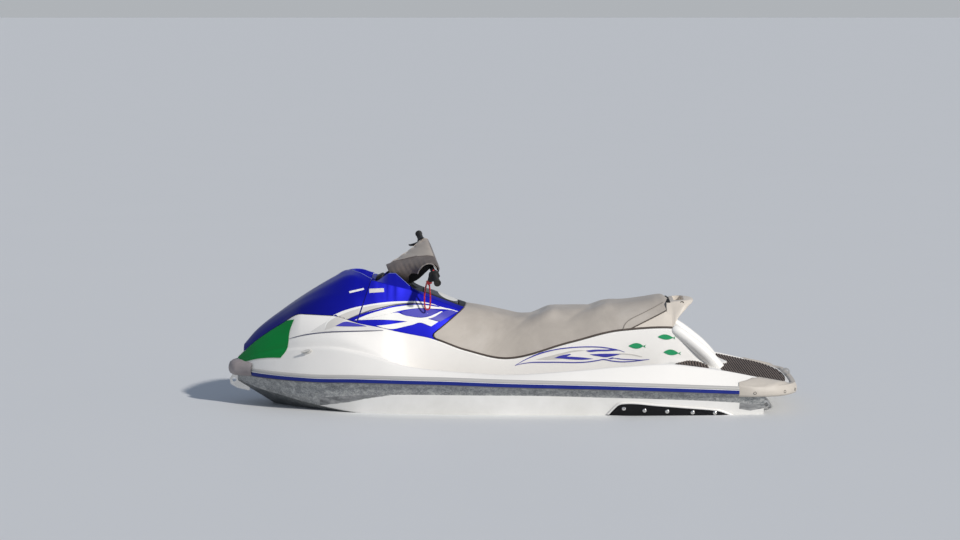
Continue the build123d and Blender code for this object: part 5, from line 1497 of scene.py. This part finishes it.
# the lanyard: a tight helix round the smooth line of its route
CORD_Y = 0.2686
ROUTE = [(0.459, 0.716), (0.453, 0.668), (0.4515, 0.612), (0.456, 0.563), (0.481, 0.563), (0.486, 0.612), (0.4835, 0.668), (0.471, 0.722)]
cd = bpy.data.curves.new("lanyard_route", "CURVE")
cd.dimensions = "3D"
sp = cd.splines.new("NURBS")
sp.points.add(len(ROUTE) - 1)
for k, (x, z) in enumerate(ROUTE):
    sp.points[k].co = (x, CORD_Y, z, 1.0)
sp.order_u = 3
sp.use_endpoint_u = True
sp.resolution_u = 24
route_ob = bpy.data.objects.new("lanyard_route", cd)
bpy.context.collection.objects.link(route_ob)
line_me = bpy.data.meshes.new_from_object(route_ob.evaluated_get(bpy.context.evaluated_depsgraph_get()))
line = [vv.co.copy() for vv in line_me.vertices]
bpy.data.objects.remove(route_ob)
dist = [0.0]
for a, b in zip(line, line[1:]):
    dist.append(dist[-1] + (b - a).length)
cord_len = dist[-1]


def along(s):
    s = max(0.0, min(cord_len, s))
    k = max(i for i in range(len(dist)) if dist[i] <= s + 1e-12)
    k = min(k, len(line) - 2)
    q = (s - dist[k]) / max(dist[k + 1] - dist[k], 1e-9)
    return line[k].lerp(line[k + 1], q), (line[k + 1] - line[k]).normalized()


hel = []
turns, per = 66, 12
for k in range(turns * per + 1):
    s = cord_len * k / (turns * per)
    p, tan = along(s)
    side_v = Vector((0, 1, 0))
    up_v = tan.cross(side_v).normalized()
    end = min(s, cord_len - s)
    rad = 0.0030 * min(1.0, max(0.0, (end - 0.004) / 0.010))
    a = 2 * math.pi * k / per
    hel.append(p + (side_v * math.cos(a) + up_v * math.sin(a)) * rad)
lanyard = tube("lanyard_coil", hel, 0.0020, [RED], "handlebars", seg=7, replaces=["lanyard_cord"])

# ------------------------------------------------------------------ instrument pod behind the visor
pod = box_mesh("pod_shell", (0.700, -0.068, 0.641), (0.768, 0.068, 0.747))
bm = bmesh.new()
bm.from_mesh(pod.data)
for vv in bm.verts:
    if vv.co.x < 0.72 and vv.co.z > 0.7:
        vv.co.x += 0.022
    if vv.co.x > 0.75 and vv.co.z > 0.7:
        vv.co.z -= 0.022
    if vv.co.z < 0.66:
        vv.co.y *= 0.86
bm.to_mesh(pod.data)
bm.free()
pod.data.materials.append(BLACK)
soften(pod, 0.014, 5, 25, 50)
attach(pod, "hull")
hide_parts("gauge_pod")
POD_TREE = world_tree([pod])
nrm = Vector((-0.95, 0, 0.20)).normalized()


def on_pod(y, z, lift):
    h = POD_TREE.ray_cast(Vector((0.60, y, z)), Vector((1, 0, 0)))
    return (h[0] + h[1] * lift) if h[0] else Vector((0.71, y, z))


for name, lift, grow, mat in (("pod_bezel", 0.0022, 1.0, BLACK_GLOSS), ("pod_lens", 0.0030, 0.86, LENS)):
    ringp = [(0.054 * grow * math.copysign(abs(math.cos(q)) ** 0.5, math.cos(q)), 0.694 + 0.034 * grow * math.copysign(abs(math.sin(q)) ** 0.6, math.sin(q))) for q in np.linspace(0, 2 * math.pi, 49)[:-1]]
    rows = []
    for s_, l_ in ((1.0, -0.002), (1.0, lift * 0.6), (0.97, lift), (0.6, lift), (0.3, lift), (0.01, lift)):
        rows.append([on_pod(y * s_, 0.694 + (z_ - 0.694) * s_, l_) for y, z_ in ringp])
    v, f, c = grid(rows, closed=True)
    make(name, v, f, [mat], "hull", (), angle=50)

# ------------------------------------------------------------------ stickers, laid on the shells along the sight lines
CROPS = {11: (225, 255, 6.272), 12: (420, 280, 5.227), 13: (590, 290, 7.127), 14: (325, 295, 11.2), 15: (510, 340, 10.814)}


def place(k, pts):
    u0, v0, s = CROPS[k]
    return [(u0 + x / s, v0 + y / s) for x, y in pts]


def flowing(pts, step=1.0, corner=36.0, closed=True):
    """an outline through points: smooth, but sharp where it turns by more than the corner angle"""
    P = [np.array(p, float) for p in pts]
    n = len(P)
    tan = []
    for i in range(n):
        if not closed and i in (0, n - 1):
            d = (P[1] - P[0]) if i == 0 else (P[-1] - P[-2])
            d = d / (np.linalg.norm(d) + 1e-9)
            tan.append((d, d))
            continue
        a, b = P[i] - P[i - 1], P[(i + 1) % n] - P[i]
        la, lb = np.linalg.norm(a) + 1e-9, np.linalg.norm(b) + 1e-9
        ang = math.degrees(math.acos(max(-1.0, min(1.0, float(a @ b) / (la * lb)))))
        if ang > corner:
            tan.append((a / la, b / lb))
        else:
            t = a / la * lb + b / lb * la
            t = t / (np.linalg.norm(t) + 1e-9)
            tan.append((t, t))
    out = []
    for i in range(n if closed else n - 1):
        p, q = P[i], P[(i + 1) % n]
        L = float(np.linalg.norm(q - p))
        t0, t1 = tan[i][1] * L, tan[(i + 1) % n][0] * L
        m = max(1, int(math.ceil(L / step)))
        for k in range(m):
            s = k / m
            out.append((2 * s**3 - 3 * s**2 + 1) * p + (s**3 - 2 * s**2 + s) * t0 + (-2 * s**3 + 3 * s**2) * q + (s**3 - s**2) * t1)
    if not closed:
        out.append(P[-1])
    return out


def stroke(pts, w, step=1.0):
    """a tapering line as an outline"""
    C = flowing(pts, step, 60, closed=False)
    L, R_ = [], []
    n = len(C)
    for i in range(n):
        d = C[min(i + 1, n - 1)] - C[max(i - 1, 0)]
        d = d / (np.linalg.norm(d) + 1e-9)
        k = i / (n - 1.0)
        h = 0.5 * w * (0.35 + 0.65 * min(1.0, 6 * k, 6 * (1 - k)))
        nn_ = np.array((-d[1], d[0])) * h
        L.append(C[i] + nn_)
        R_.append(C[i] - nn_)
    return L + R_[::-1]


def inside(poly, q):
    """even-odd test of points q against a polygon"""
    x, y = q[:, 0], q[:, 1]
    res = np.zeros(len(q), bool)
    n = len(poly)
    for i in range(n):
        x0, y0 = poly[i]
        x1, y1 = poly[(i + 1) % n]
        if y0 == y1:
            continue
        c_ = ((y0 > y) != (y1 > y)) & (x < (x1 - x0) * (y - y0) / (y1 - y0) + x0)
        res ^= c_
    return res


def to_pixel(p):
    d = Vector(p) - CAM
    z_ = d.dot(FORWARD)
    return (W / 2 + FOCAL * d.dot(RIGHT) / z_, H / 2 - FOCAL * d.dot(UP) / z_)


EDGE_LINE = [to_pixel((x * MM, (DECK("ty", x) - 1.0) * MM, (DECK("tz", x) + 1.0) * MM)) for x in range(1500, 380, -8)]
seam_d = Vector((SEAM[1][0] - SEAM[0][0], 0, SEAM[1][1] - SEAM[0][1])).normalized()
seam_n = Vector((-seam_d.z, 0, seam_d.x))
if seam_n.x > 0:
    seam_n = -seam_n
seam_p = Vector((SEAM[0][0], 0, SEAM[0][1]))
seat_d = Vector((SEAT_LINE[1][0] - SEAT_LINE[0][0], 0, SEAT_LINE[1][1] - SEAT_LINE[0][1])).normalized()
seat_n = Vector((-seat_d.z, 0, seat_d.x))
if seat_n.x > 0:
    seat_n = -seat_n
seat_p = Vector((SEAT_LINE[0][0], 0, SEAT_LINE[0][1]))


def sticker(name, polys, mat, lift, targets=("hood", "cowl", "deck"), fine=1.6, ready=False):
    """thin film from outlines in picture points; both sides of the craft get it"""
    trees = {"hood": HOOD_FULL, "cowl": COWL_FULL, "deck": DECK_TREE}
    outp = {"hood": ([], []), "cowl": ([], []), "deck": ([], [])}
    for poly in polys:
        B = poly if ready else flowing(poly)
        B = [np.array(b, float) for b in B]
        keep = [B[0]]
        for b in B[1:]:
            if np.linalg.norm(b - keep[-1]) > 0.12:
                keep.append(b)
        B = keep
        A = np.array(B)
        lo_, hi_ = A.min(0), A.max(0)
        gx = np.arange(lo_[0] + 0.5 * fine, hi_[0], fine)
        gy = np.arange(lo_[1] + 0.5 * fine, hi_[1], fine * 0.8)
        G = np.array([(x + (0.5 * fine if j % 2 else 0.0), y) for j, y in enumerate(gy) for x in gx]) if len(gx) and len(gy) else np.zeros((0, 2))
        if len(G):
            G = G[inside(B, G)]
            if len(G):
                dmin = np.min(np.linalg.norm(G[:, None, :] - A[None, :, :], axis=2), axis=1)
                G = G[dmin > 0.45 * fine]
        pts = B + [np.array(g) for g in G]
        edges = [(i, (i + 1) % len(B)) for i in range(len(B))]
        k0 = len(pts)
        cross = [np.array(e) for e in EDGE_LINE if lo_[0] - 12 < e[0] < hi_[0] + 12]
        if len(cross) > 1 and "deck" in targets:
            pts += cross
            edges += [(k0 + i, k0 + i + 1) for i in range(len(cross) - 1)]
        vs, es, fs, _, _, _ = delaunay_2d_cdt([Vector((p[0], p[1])) for p in pts], edges, [], 0, 1e-5)
        V = np.array([(q.x, q.y) for q in vs])
        cen = np.array([V[list(t_)].mean(0) for t_ in fs])
        ok = inside(B, cen)
        cache, under = {}, set()
        for t_, c_, k in zip(fs, cen, ok):
            if not k or len(t_) != 3:
                continue
            d = pixel_ray(c_[0], c_[1])
            best = None
            for key in targets:
                h = trees[key].ray_cast(CAM, d)
                if h[0] is not None and (best is None or h[3] < best[1] - (0.004 if key == "deck" else 0.0)):
                    best = (key, h[3], h[0])
            if best is None:
                continue
            key, depth, hit = best
            use = [key]
            if key != "deck":
                s_ = (hit - seam_p).dot(seam_n)
                use = ["hood"] if s_ < -0.02 else ["cowl"] if s_ > 0.02 else ["hood", "cowl"]
                use = [k_ for k_ in use if k_ in targets]
            for key in use:
                vv, ff = outp[key]
                tri = []
                for i in t_:
                    ck = (key, i)
                    if ck not in cache:
                        dv = pixel_ray(V[i][0], V[i][1])
                        h = trees[key].ray_cast(CAM, dv)
                        if h[0] is None or abs(h[3] - depth) > 0.06:
                            guess = CAM + dv * depth
                            nr = trees[key].find_nearest(guess)
                            h = (nr[0], nr[1])
                        nn_ = h[1] if h[1].dot(dv) < 0 else -h[1]
                        cache[ck] = len(vv)
                        place_ = h[0] + nn_ * lift
                        # films on the deck stop at the hood's foot
                        crest = (DECK("ty", h[0].x * 1000) - 3.0) * MM if key == "deck" and h[0].x > 0.62 else -9.0
                        if place_.y < crest:
                            under.add(ck)
                            nr = DECK_TREE.find_nearest(Vector((h[0].x, crest, (DECK("tz", h[0].x * 1000)) * MM)))
                            up = nr[1] if nr[1].z > 0 else -nr[1]
                            place_ = nr[0] + up * min(lift, 0.0016)
                        vv.append(place_)
                    tri.append(cache[ck])
                # throw out slivers that bridge two depths
                e_ = max((vv[tri[a_]] - vv[tri[(a_ + 1) % 3]]).length for a_ in range(3))
                if e_ < 0.12 and not all((key, i) in under for i in t_):
                    ff.append(tuple(tri))
    done = []
    for body, keys in (("hood", ("hood",)), ("hull", ("cowl", "deck"))):
        V3, F3 = [], []
        for key in keys:
            vv, ff = outp[key]
            if not ff:
                continue
            me = bpy.data.meshes.new("tmp")
            me.from_pydata([tuple(q) for q in vv], [], ff)
            bm = bmesh.new()
            bm.from_mesh(me)
            if key == "hood":
                bmesh.ops.bisect_plane(bm, geom=bm.verts[:] + bm.edges[:] + bm.faces[:], dist=1e-6, plane_co=seam_p - seam_n * 0.004, plane_no=seam_n, clear_outer=True)
            if key == "cowl":
                bmesh.ops.bisect_plane(bm, geom=bm.verts[:] + bm.edges[:] + bm.faces[:], dist=1e-6, plane_co=seam_p + seam_n * 0.004, plane_no=seam_n, clear_inner=True)
                bmesh.ops.bisect_plane(bm, geom=bm.verts[:] + bm.edges[:] + bm.faces[:], dist=1e-6, plane_co=seat_p - seat_n * 0.003, plane_no=seat_n, clear_outer=True)
            bm.verts.index_update()
            base_i = len(V3)
            V3 += [q.co.copy() for q in bm.verts]
            F3 += [tuple(base_i + q.index for q in f_.verts) for f_ in bm.faces]
            bm.free()
            bpy.data.meshes.remove(me)
        if not F3:
            continue
        n3 = len(V3)
        allv = V3 + [Vector((q.x, -q.y, q.z)) for q in V3]
        allf = F3 + [tuple(n3 + i for i in reversed(f_)) for f_ in F3]
        me = bpy.data.meshes.new(name + "_" + body)
        me.from_pydata([tuple(q) for q in allv], [], allf)
        # films face outwards
        bm = bmesh.new()
        bm.from_mesh(me)
        for f_ in bm.faces:
            f_.smooth = True
            c_ = f_.calc_center_median()
            outw = Vector((0, math.copysign(1, c_.y), 0.55))
            if f_.normal.dot(outw) < 0:
                f_.normal_flip()
        bm.to_mesh(me)
        bm.free()
        ob = bpy.data.objects.new(name + "_" + body, me)
        bpy.context.collection.objects.link(ob)
        me.materials.append(mat)
        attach(ob, body)
        done.append(ob)
    return done


def grown(poly, d):
    """the outline moved outwards by d picture points"""
    B = flowing(poly)
    n = len(B)
    A = np.array(B)
    area = 0.5 * sum(A[i][0] * A[(i + 1) % n][1] - A[(i + 1) % n][0] * A[i][1] for i in range(n))
    out = []
    for i in range(n):
        t = A[(i + 1) % n] - A[i - 1]
        t = t / (np.linalg.norm(t) + 1e-9)
        nn_ = np.array((t[1], -t[0])) * (1 if area > 0 else -1)
        out.append(A[i] + nn_ * d)
    return out


GREEN_PANEL = place(11, [(50, 630), (100, 580), (200, 510), (320, 450), (380, 415), (435, 405), (420, 440), (405, 490), (400, 540), (390, 590), (350, 645), (270, 645), (200, 652), (130, 668), (90, 650)])
sticker("panel_border", [grown(GREEN_PANEL, 0.7)], PALE_EDGE, 0.0010, ("deck",), ready=True)
sticker("green_panel", [GREEN_PANEL], GREEN, 0.0024, ("deck",))
sticker("label_blank", [place(11, [(778, 228), (870, 207), (873, 218), (782, 240)])], STRIPE_WHITE, 0.0010)
sticker("label_blank_grey", [place(11, [(905, 212), (996, 208), (998, 232), (905, 238)])], STRIPE_GREY, 0.0010)

band_up = [(75, 240), (150, 200), (300, 148), (450, 115), (600, 90), (750, 75), (900, 70), (1020, 70), (1120, 82), (1220, 105), (1330, 150), (1400, 160)]
band_lo = [(1280, 128), (1200, 108), (1090, 95), (960, 98), (850, 108), (720, 130), (600, 160), (500, 185), (400, 215), (300, 255), (250, 275)]
inner_grey = [(20, 330), (100, 262), (200, 215), (320, 170), (470, 130), (620, 108), (780, 92), (900, 86), (1000, 86), (1080, 92), (960, 96), (850, 106), (720, 128), (600, 158), (500, 183), (400, 213), (300, 253), (250, 273), (150, 330), (120, 350), (0, 390)]
sticker("swoosh_band", [place(14, band_up + band_lo + [(150, 330), (120, 350), (0, 390), (0, 345), (30, 290)])], STRIPE_WHITE, 0.0010)
sticker("swoosh_grey", [place(14, inner_grey)], STRIPE_GREY, 0.0018)
w1 = [(330, 283), (420, 243), (520, 205), (640, 170), (760, 140), (880, 122), (1000, 112), (1120, 115), (1240, 132), (1400, 158), (1490, 185), (1480, 190), (1390, 168), (1200, 155), (1080, 148), (950, 158), (820, 182), (700, 215), (520, 260)]
w2 = [(330, 283), (520, 250), (700, 213), (820, 200), (880, 225), (960, 242), (1090, 255), (1150, 245), (1300, 183), (1318, 188), (1200, 255), (1150, 268), (1270, 300), (1190, 352), (1040, 312), (1000, 327), (900, 352), (740, 382), (650, 368), (575, 345), (700, 333), (820, 315), (925, 298), (820, 287), (640, 277), (500, 277)]
sticker("swoosh_white", [place(14, w1), place(14, w2)], STRIPE_WHITE, 0.0022)
v1 = [(850, 192), (950, 165), (1080, 155), (1200, 163), (1290, 180), (1150, 240), (1085, 252), (960, 240), (880, 222)]
v2 = [(1318, 192), (1400, 170), (1480, 192), (1290, 300), (1170, 268), (1215, 250)]
lens = [(118, 350), (220, 303), (330, 318), (400, 335), (470, 354), (330, 356), (200, 354)]
sticker("swoosh_violet", [place(14, v1), place(14, v2), place(14, lens)], STRIPE_VIOLET, 0.0030)
sticker("swoosh_pin", [stroke(place(14, [(250, 275), (320, 245), (420, 205), (540, 165), (650, 138), (760, 115), (880, 100), (1000, 95), (1090, 98)]), 1.05),
                       stroke(place(14, [(650, 400), (560, 404), (400, 408), (200, 412), (0, 420)]) + place(11, [(470, 508), (405, 525)]), 0.9)], STRIPE_LINE, 0.0034, ready=True)
# painted shade: a pale grey band on the white deck just below the hood's edge
sticker("bow_tint", [place(11, [(535, 482), (600, 440), (680, 400), (700, 398), (800, 420), (960, 460), (1000, 472), (860, 478), (700, 478)])], HOOD_EDGE_SHADE, 0.0006, ("deck",))

sticker("side_pin", [stroke(place(15, [(55, 275), (160, 215), (260, 170), (380, 130), (520, 98), (680, 80), (850, 73), (980, 77), (1080, 90), (1180, 110), (1240, 130)]), 0.95),
                     stroke(place(15, [(55, 275), (120, 258), (220, 243), (380, 240), (540, 240), (700, 243), (850, 235), (950, 220), (1010, 210), (1100, 225), (1200, 235), (1320, 230), (1420, 220), (1510, 208)]), 0.95),
                     stroke(place(15, [(1100, 190), (1200, 205), (1330, 212), (1440, 215), (1510, 208)]), 0.75)], STRIPE_BLUE, 0.0028, ("deck",), ready=True)
# the first patch is painted shade on the deck's side, in the stripes' grey; the stroke is a grey stripe
sticker("side_grey", [place(15, [(280, 210), (400, 180), (560, 140), (700, 110), (820, 112), (650, 135), (480, 190), (560, 205), (400, 212)]), stroke(place(15, [(1000, 155), (1120, 152), (1230, 150), (1330, 160), (1430, 182)]), 1.0)], STRIPE_GREY, 0.0016, ("deck",))
sticker("side_fill", [place(15, [(475, 195), (560, 165), (650, 150), (660, 158), (610, 178), (700, 182), (800, 190), (905, 203), (800, 212), (650, 208), (560, 200)]),
                      place(15, [(820, 115), (900, 105), (1050, 103), (1150, 98), (1180, 110), (1080, 118), (950, 122), (850, 126)]),
                      place(15, [(860, 155), (1000, 148), (1100, 148), (1200, 152), (1120, 172), (1030, 185), (960, 175), (890, 163)]),
                      place(15, [(1060, 200), (1110, 187), (1130, 195), (1090, 205)])], STRIPE_BLUE, 0.0024, ("deck",))
fish = []
for nose, top_, bot_, joint, t1, t2, notch in (((628.3, 345.9), (636.6, 343.0), (636.6, 348.6), (643.3, 346.1), (646.0, 344.5), (645.7, 347.8), (644.9, 346.1)),
                                               ((657.7, 336.8), (665.4, 334.4), (665.8, 339.6), (673.2, 337.8), (675.6, 336.1), (675.2, 339.4), (674.5, 337.8)),
                                               ((663.5, 352.2), (670.9, 349.5), (671.2, 355.1), (678.6, 353.2), (681.3, 351.5), (680.8, 355.1), (679.9, 353.3))):
    N_, T_, B_, J_ = (np.array(q) for q in (nose, top_, bot_, joint))
    arc_ = []
    for a0, m0, b0 in ((N_, T_, J_), (J_, B_, N_)):
        ctrl = 2 * m0 - 0.5 * (a0 + b0)
        arc_ += [tuple((1 - t) ** 2 * a0 + 2 * t * (1 - t) * ctrl + t * t * b0) for t in np.linspace(0, 1, 14)[:-1]]
        if a0 is N_:
            arc_ += [tuple(J_ + (0.0, -0.25)), t1, notch, t2, tuple(J_ + (0.0, 0.25))]
    fish.append(arc_)
sticker("fish", fish, GREEN_FISH, 0.0022, ("deck",), fine=1.0, ready=True)

# the blank oval on the lid
LID_TREE = world_tree([lid])
rws = []
for s_ in (1.0, 0.92, 0.75, 0.5, 0.25, 0.01):
    row = []
    for q in np.linspace(0, 2 * math.pi, 65)[:-1]:
        x, y = 0.357 + 0.056 * s_ * math.cos(q), 0.096 * s_ * math.sin(q)
        h = LID_TREE.ray_cast(Vector((x, y, 1.2)), Vector((0, 0, -1)))
        row.append((h[0] if h[0] else Vector((x, y, 0.6))) + Vector((-0.3, 0, 0.95)) * (0.0014 if s_ < 0.99 else 0.0002))
    rws.append(row)
v, f, c = grid(rws, closed=True)
make("lid_badge", v, f, [BADGE], "glove_box_lid", (), angle=60)

# ------------------------------------------------------------------ bow cleats: a plate, two posts and a horn
hit = DECK_TREE.ray_cast(CAM, pixel_ray(307.5, 351.6))
P0, N0 = hit[0], hit[1] if hit[1].y > 0 else -hit[1]
E0 = Vector((1, 0, -0.10))
E0 = (E0 - N0 * E0.dot(N0)).normalized()
G0 = N0.cross(E0).normalized()
for side, tag in ((1, "port"), (-1, "starboard")):
    def at(a, b, c):
        q = P0 + (E0 * a + G0 * b + N0 * c) * MM
        return Vector((q.x, side * q.y, q.z))
    rws = [[at(31 * s_ * math.cos(q), 12.5 * s_ * math.sin(q), h_) for q in np.linspace(0, 2 * math.pi, 41)[:-1]] for s_, h_ in ((1.0, -3.0), (1.0, 2.0), (0.95, 3.4), (0.86, 4.0), (0.5, 4.2), (0.02, 4.2))]
    v, f, c = grid(rws, closed=True)
    make("cleat_plate_" + tag, v, f, [CLEAT_WHITE], "hull", ["bow_cleats"] if side > 0 else (), angle=40)
    for a_ in (-9, 9):
        tube("cleat_post_%s_%s" % (tag, "aft" if a_ < 0 else "fore"), [at(a_, 0, 2), at(a_ * 0.98, 0, 9), at(a_ * 0.95, 0, 16)], lambda q: 0.0048 - 0.0008 * math.sin(math.pi * q), [CLEAT_WHITE], "hull", seg=14)
    tube("cleat_horn_" + tag, spline([at(-31, -2, 21), at(-20, 0, 18.5), at(0, 0, 17), at(20, 0, 18.5), at(31, -2, 21)], 6), lambda q: 0.0026 + 0.0026 * math.sin(math.pi * q) ** 0.6, [CLEAT_WHITE], "hull", seg=14)
    # painted shade: a near-black hole near the cleat's fore end
    rws = [[at(22 + r_ * math.cos(q), -1 + r_ * math.sin(q), h_) for q in np.linspace(0, 2 * math.pi, 21)[:-1]] for r_, h_ in ((4.2, 3.6), (4.2, 4.6), (3.0, 4.6), (2.4, 3.2), (0.02, 3.2))]
    v, f, c = grid(rws, closed=True)
    make("cleat_bolt_" + tag, v, f, [HOLLOW_SHADE], "hull", ())

# ------------------------------------------------------------------ sponsons under the side arch
SP = Table("x top lo o1 o2", [(-532, 2, -18, 3, 4), (-560, 34, -30, 4, 8), (-590, 62, -40, 6, 14), (-610, 68, -46, 8, 20), (-650, 70, -52, 11, 28), (-800, 56, -58, 13, 34), (-990, 39, -62, 14, 38), (-1145, 23, -66, 14, 38), (-1190, 8, -60, 11, 30), (-1235, -12, -40, 6, 16)])
HULL_TREE = world_tree([o for o in bpy.context.scene.objects if o.name.startswith("hull_shell")])


def hull_side(x, z):
    h = HULL_TREE.ray_cast(Vector((x, 0.9, z)), Vector((0, -1, 0)))
    return h[0].y if h[0] else 0.45


for side, tag in ((1, "port"), (-1, "starboard")):
    rows = []
    for x in list(np.linspace(-532, -650, 15)) + list(np.linspace(-665, -1180, 30)) + list(np.linspace(-1190, -1235, 8)):
        top, lo_, o1, o2 = SP("top", x), SP("lo", x), SP("o1", x), SP("o2", x)
        row = []
        zs = [(top, -6), (top, o1 * 0.5), (top - 2, o1 * 0.9), (top - 6, o1)]
        for k in range(1, 6):
            zs.append((top - 6 + (lo_ + 8 - top + 6) * k / 6.0, o1 + (o2 - o1) * k / 6.0 - 2.5 * math.sin(math.pi * k / 6.0)))
        zs += [(lo_ + 8, o2), (lo_ + 3, o2 * 0.96), (lo_, o2 * 0.85), (lo_, -6)]
        for z_, o_ in zs:
            zz = z_ * MM
            row.append((x * MM, side * (hull_side(x * MM, zz) + o_ * MM), zz))
        rows.append(row)
    v, f, c = grid(rows, closed=True, caps=True)
    make("sponson_" + tag, v, f, [BLACK_WET], "hull", ["sponsons"] if side > 0 else (), angle=45)
    for k, (u_, v_) in enumerate(((624.2, 407.8), (644.9, 410.0), (667.7, 411.0), (693.4, 412.7), (715.9, 412.7))):
        x = (W / 2 - u_) * 14.75 / FOCAL + CAM.x
        z_ = (0.0415, 0.0300, 0.0240, 0.0170, 0.0130)[k]
        k1 = (SP("top", x * 1000) - 6 - z_ * 1000) / (SP("top", x * 1000) - 14 - SP("lo", x * 1000))
        yy = hull_side(x, z_) + (SP("o1", x * 1000) * (1 - k1) + SP("o2", x * 1000) * k1 - 2.5 * math.sin(math.pi * k1)) * MM
        rws = [[(x + r * math.cos(q), side * (yy + h_), z_ + r * math.sin(q)) for q in np.linspace(0, 2 * math.pi, 25)[:-1]] for r, h_ in ((0.011, -0.003), (0.011, 0.0012), (0.0095, 0.0024), (0.0045, 0.0030), (0.0040, 0.0004), (0.0001, 0.0004))]
        v, f, c = grid(rws, closed=True)
        make("sponson_bolt_%s_%d" % (tag, k + 1), v, f, [STEEL], "hull", ())
    # the white moulded lip over the recess
    lip = []
    for x in list(np.linspace(-534, -640, 14)) + list(np.linspace(-660, -1230, 30)):
        z_ = (SP("top", max(min(x, -532), -1235)) + 3.5) * MM
        lip.append((x * MM, side * (hull_side(x * MM, z_) + 0.0055), z_))
    tube("arch_lip_" + tag, lip, 0.0062, [WHITE_LOW], "hull", seg=10)

# ------------------------------------------------------------------ finishes of the parts that show as they are
FINISH = {"hull_gelcoat": SCUFF, "white_gelcoat": WHITE, "blue_gloss": BLUE, "rail_rubber": RAIL_DARK, "bumper_grey": BUMPER_GREY, "bumper_pale": BUMPER_PALE,
          "black_plastic": BLACK, "mat_brown": MAT, "cast_alloy": CAST, "stainless": STEEL, "cover_vinyl": COVER_SHADED, "grip_rubber": GRIP,
          "clip_red": RED, "cord_red": RED, "seat_vinyl": SEAT, "tail_beige": TAIL}
for name, node in frame["nodes"].items():
    for sl in node.material_slots:
        if sl.material is not None:
            key = sl.material.name.split(".")[0]
            if key in FINISH:
                sl.material = FINISH[key]

# ------------------------------------------------------------------ END PART: floor, light, size
floor_mat, nodes, links, bsdf = new_mat("floor")
vec = object_coords(nodes, links)
n1 = noise(nodes, links, vec, 0.6, 3, 0.5)
base = mix_color(nodes, links, math_node(nodes, links, "MULTIPLY", n1, 0.25), (0.70, 0.71, 0.72), (0.655, 0.67, 0.685))
links.new(base, bsdf.inputs["Base Color"])
bsdf.inputs["Roughness"].default_value = 0.6
mesh = bpy.data.meshes.new("floor")
mesh.from_pydata([(-2500, -2500, 0), (2500, -2500, 0), (2500, 2500, 0), (-2500, 2500, 0)], [], [(0, 1, 2, 3)])
floor = bpy.data.objects.new("floor", mesh)
bpy.context.collection.objects.link(floor)
mesh.materials.append(floor_mat)

world = bpy.data.worlds.new("studio")
bpy.context.scene.world = world
world.use_nodes = True
wn, wl = world.node_tree.nodes, world.node_tree.links
bg = wn["Background"]
tc = wn.new("ShaderNodeTexCoord")
sep = wn.new("ShaderNodeSeparateXYZ")
wl.new(tc.outputs["Generated"], sep.inputs[0])
r = ramp(wn, [(0.0, (0.30, 0.33, 0.36)), (0.49, (0.66, 0.69, 0.72)), (0.52, (0.70, 0.74, 0.79)), (0.62, (0.42, 0.48, 0.58)), (1.0, (0.26, 0.33, 0.46))])
wl.new(math_node(wn, wl, "ADD", math_node(wn, wl, "MULTIPLY", sep.outputs[2], 0.5), 0.5), r.inputs[0])
wl.new(r.outputs[0], bg.inputs["Color"])
bg.inputs["Strength"].default_value = 0.66

sun_data = bpy.data.lights.new("key", "SUN")
sun_data.energy = 3.25
sun_data.angle = math.radians(3.0)
sun_data.color = (1.0, 0.96, 0.90)
sun = bpy.data.objects.new("key", sun_data)
bpy.context.collection.objects.link(sun)
sun.rotation_euler = Vector((0.60, -0.60, -0.53)).to_track_quat("-Z", "Y").to_euler()

bpy.context.scene.view_settings.view_transform = "Standard"
bpy.context.scene.view_settings.exposure = -0.05
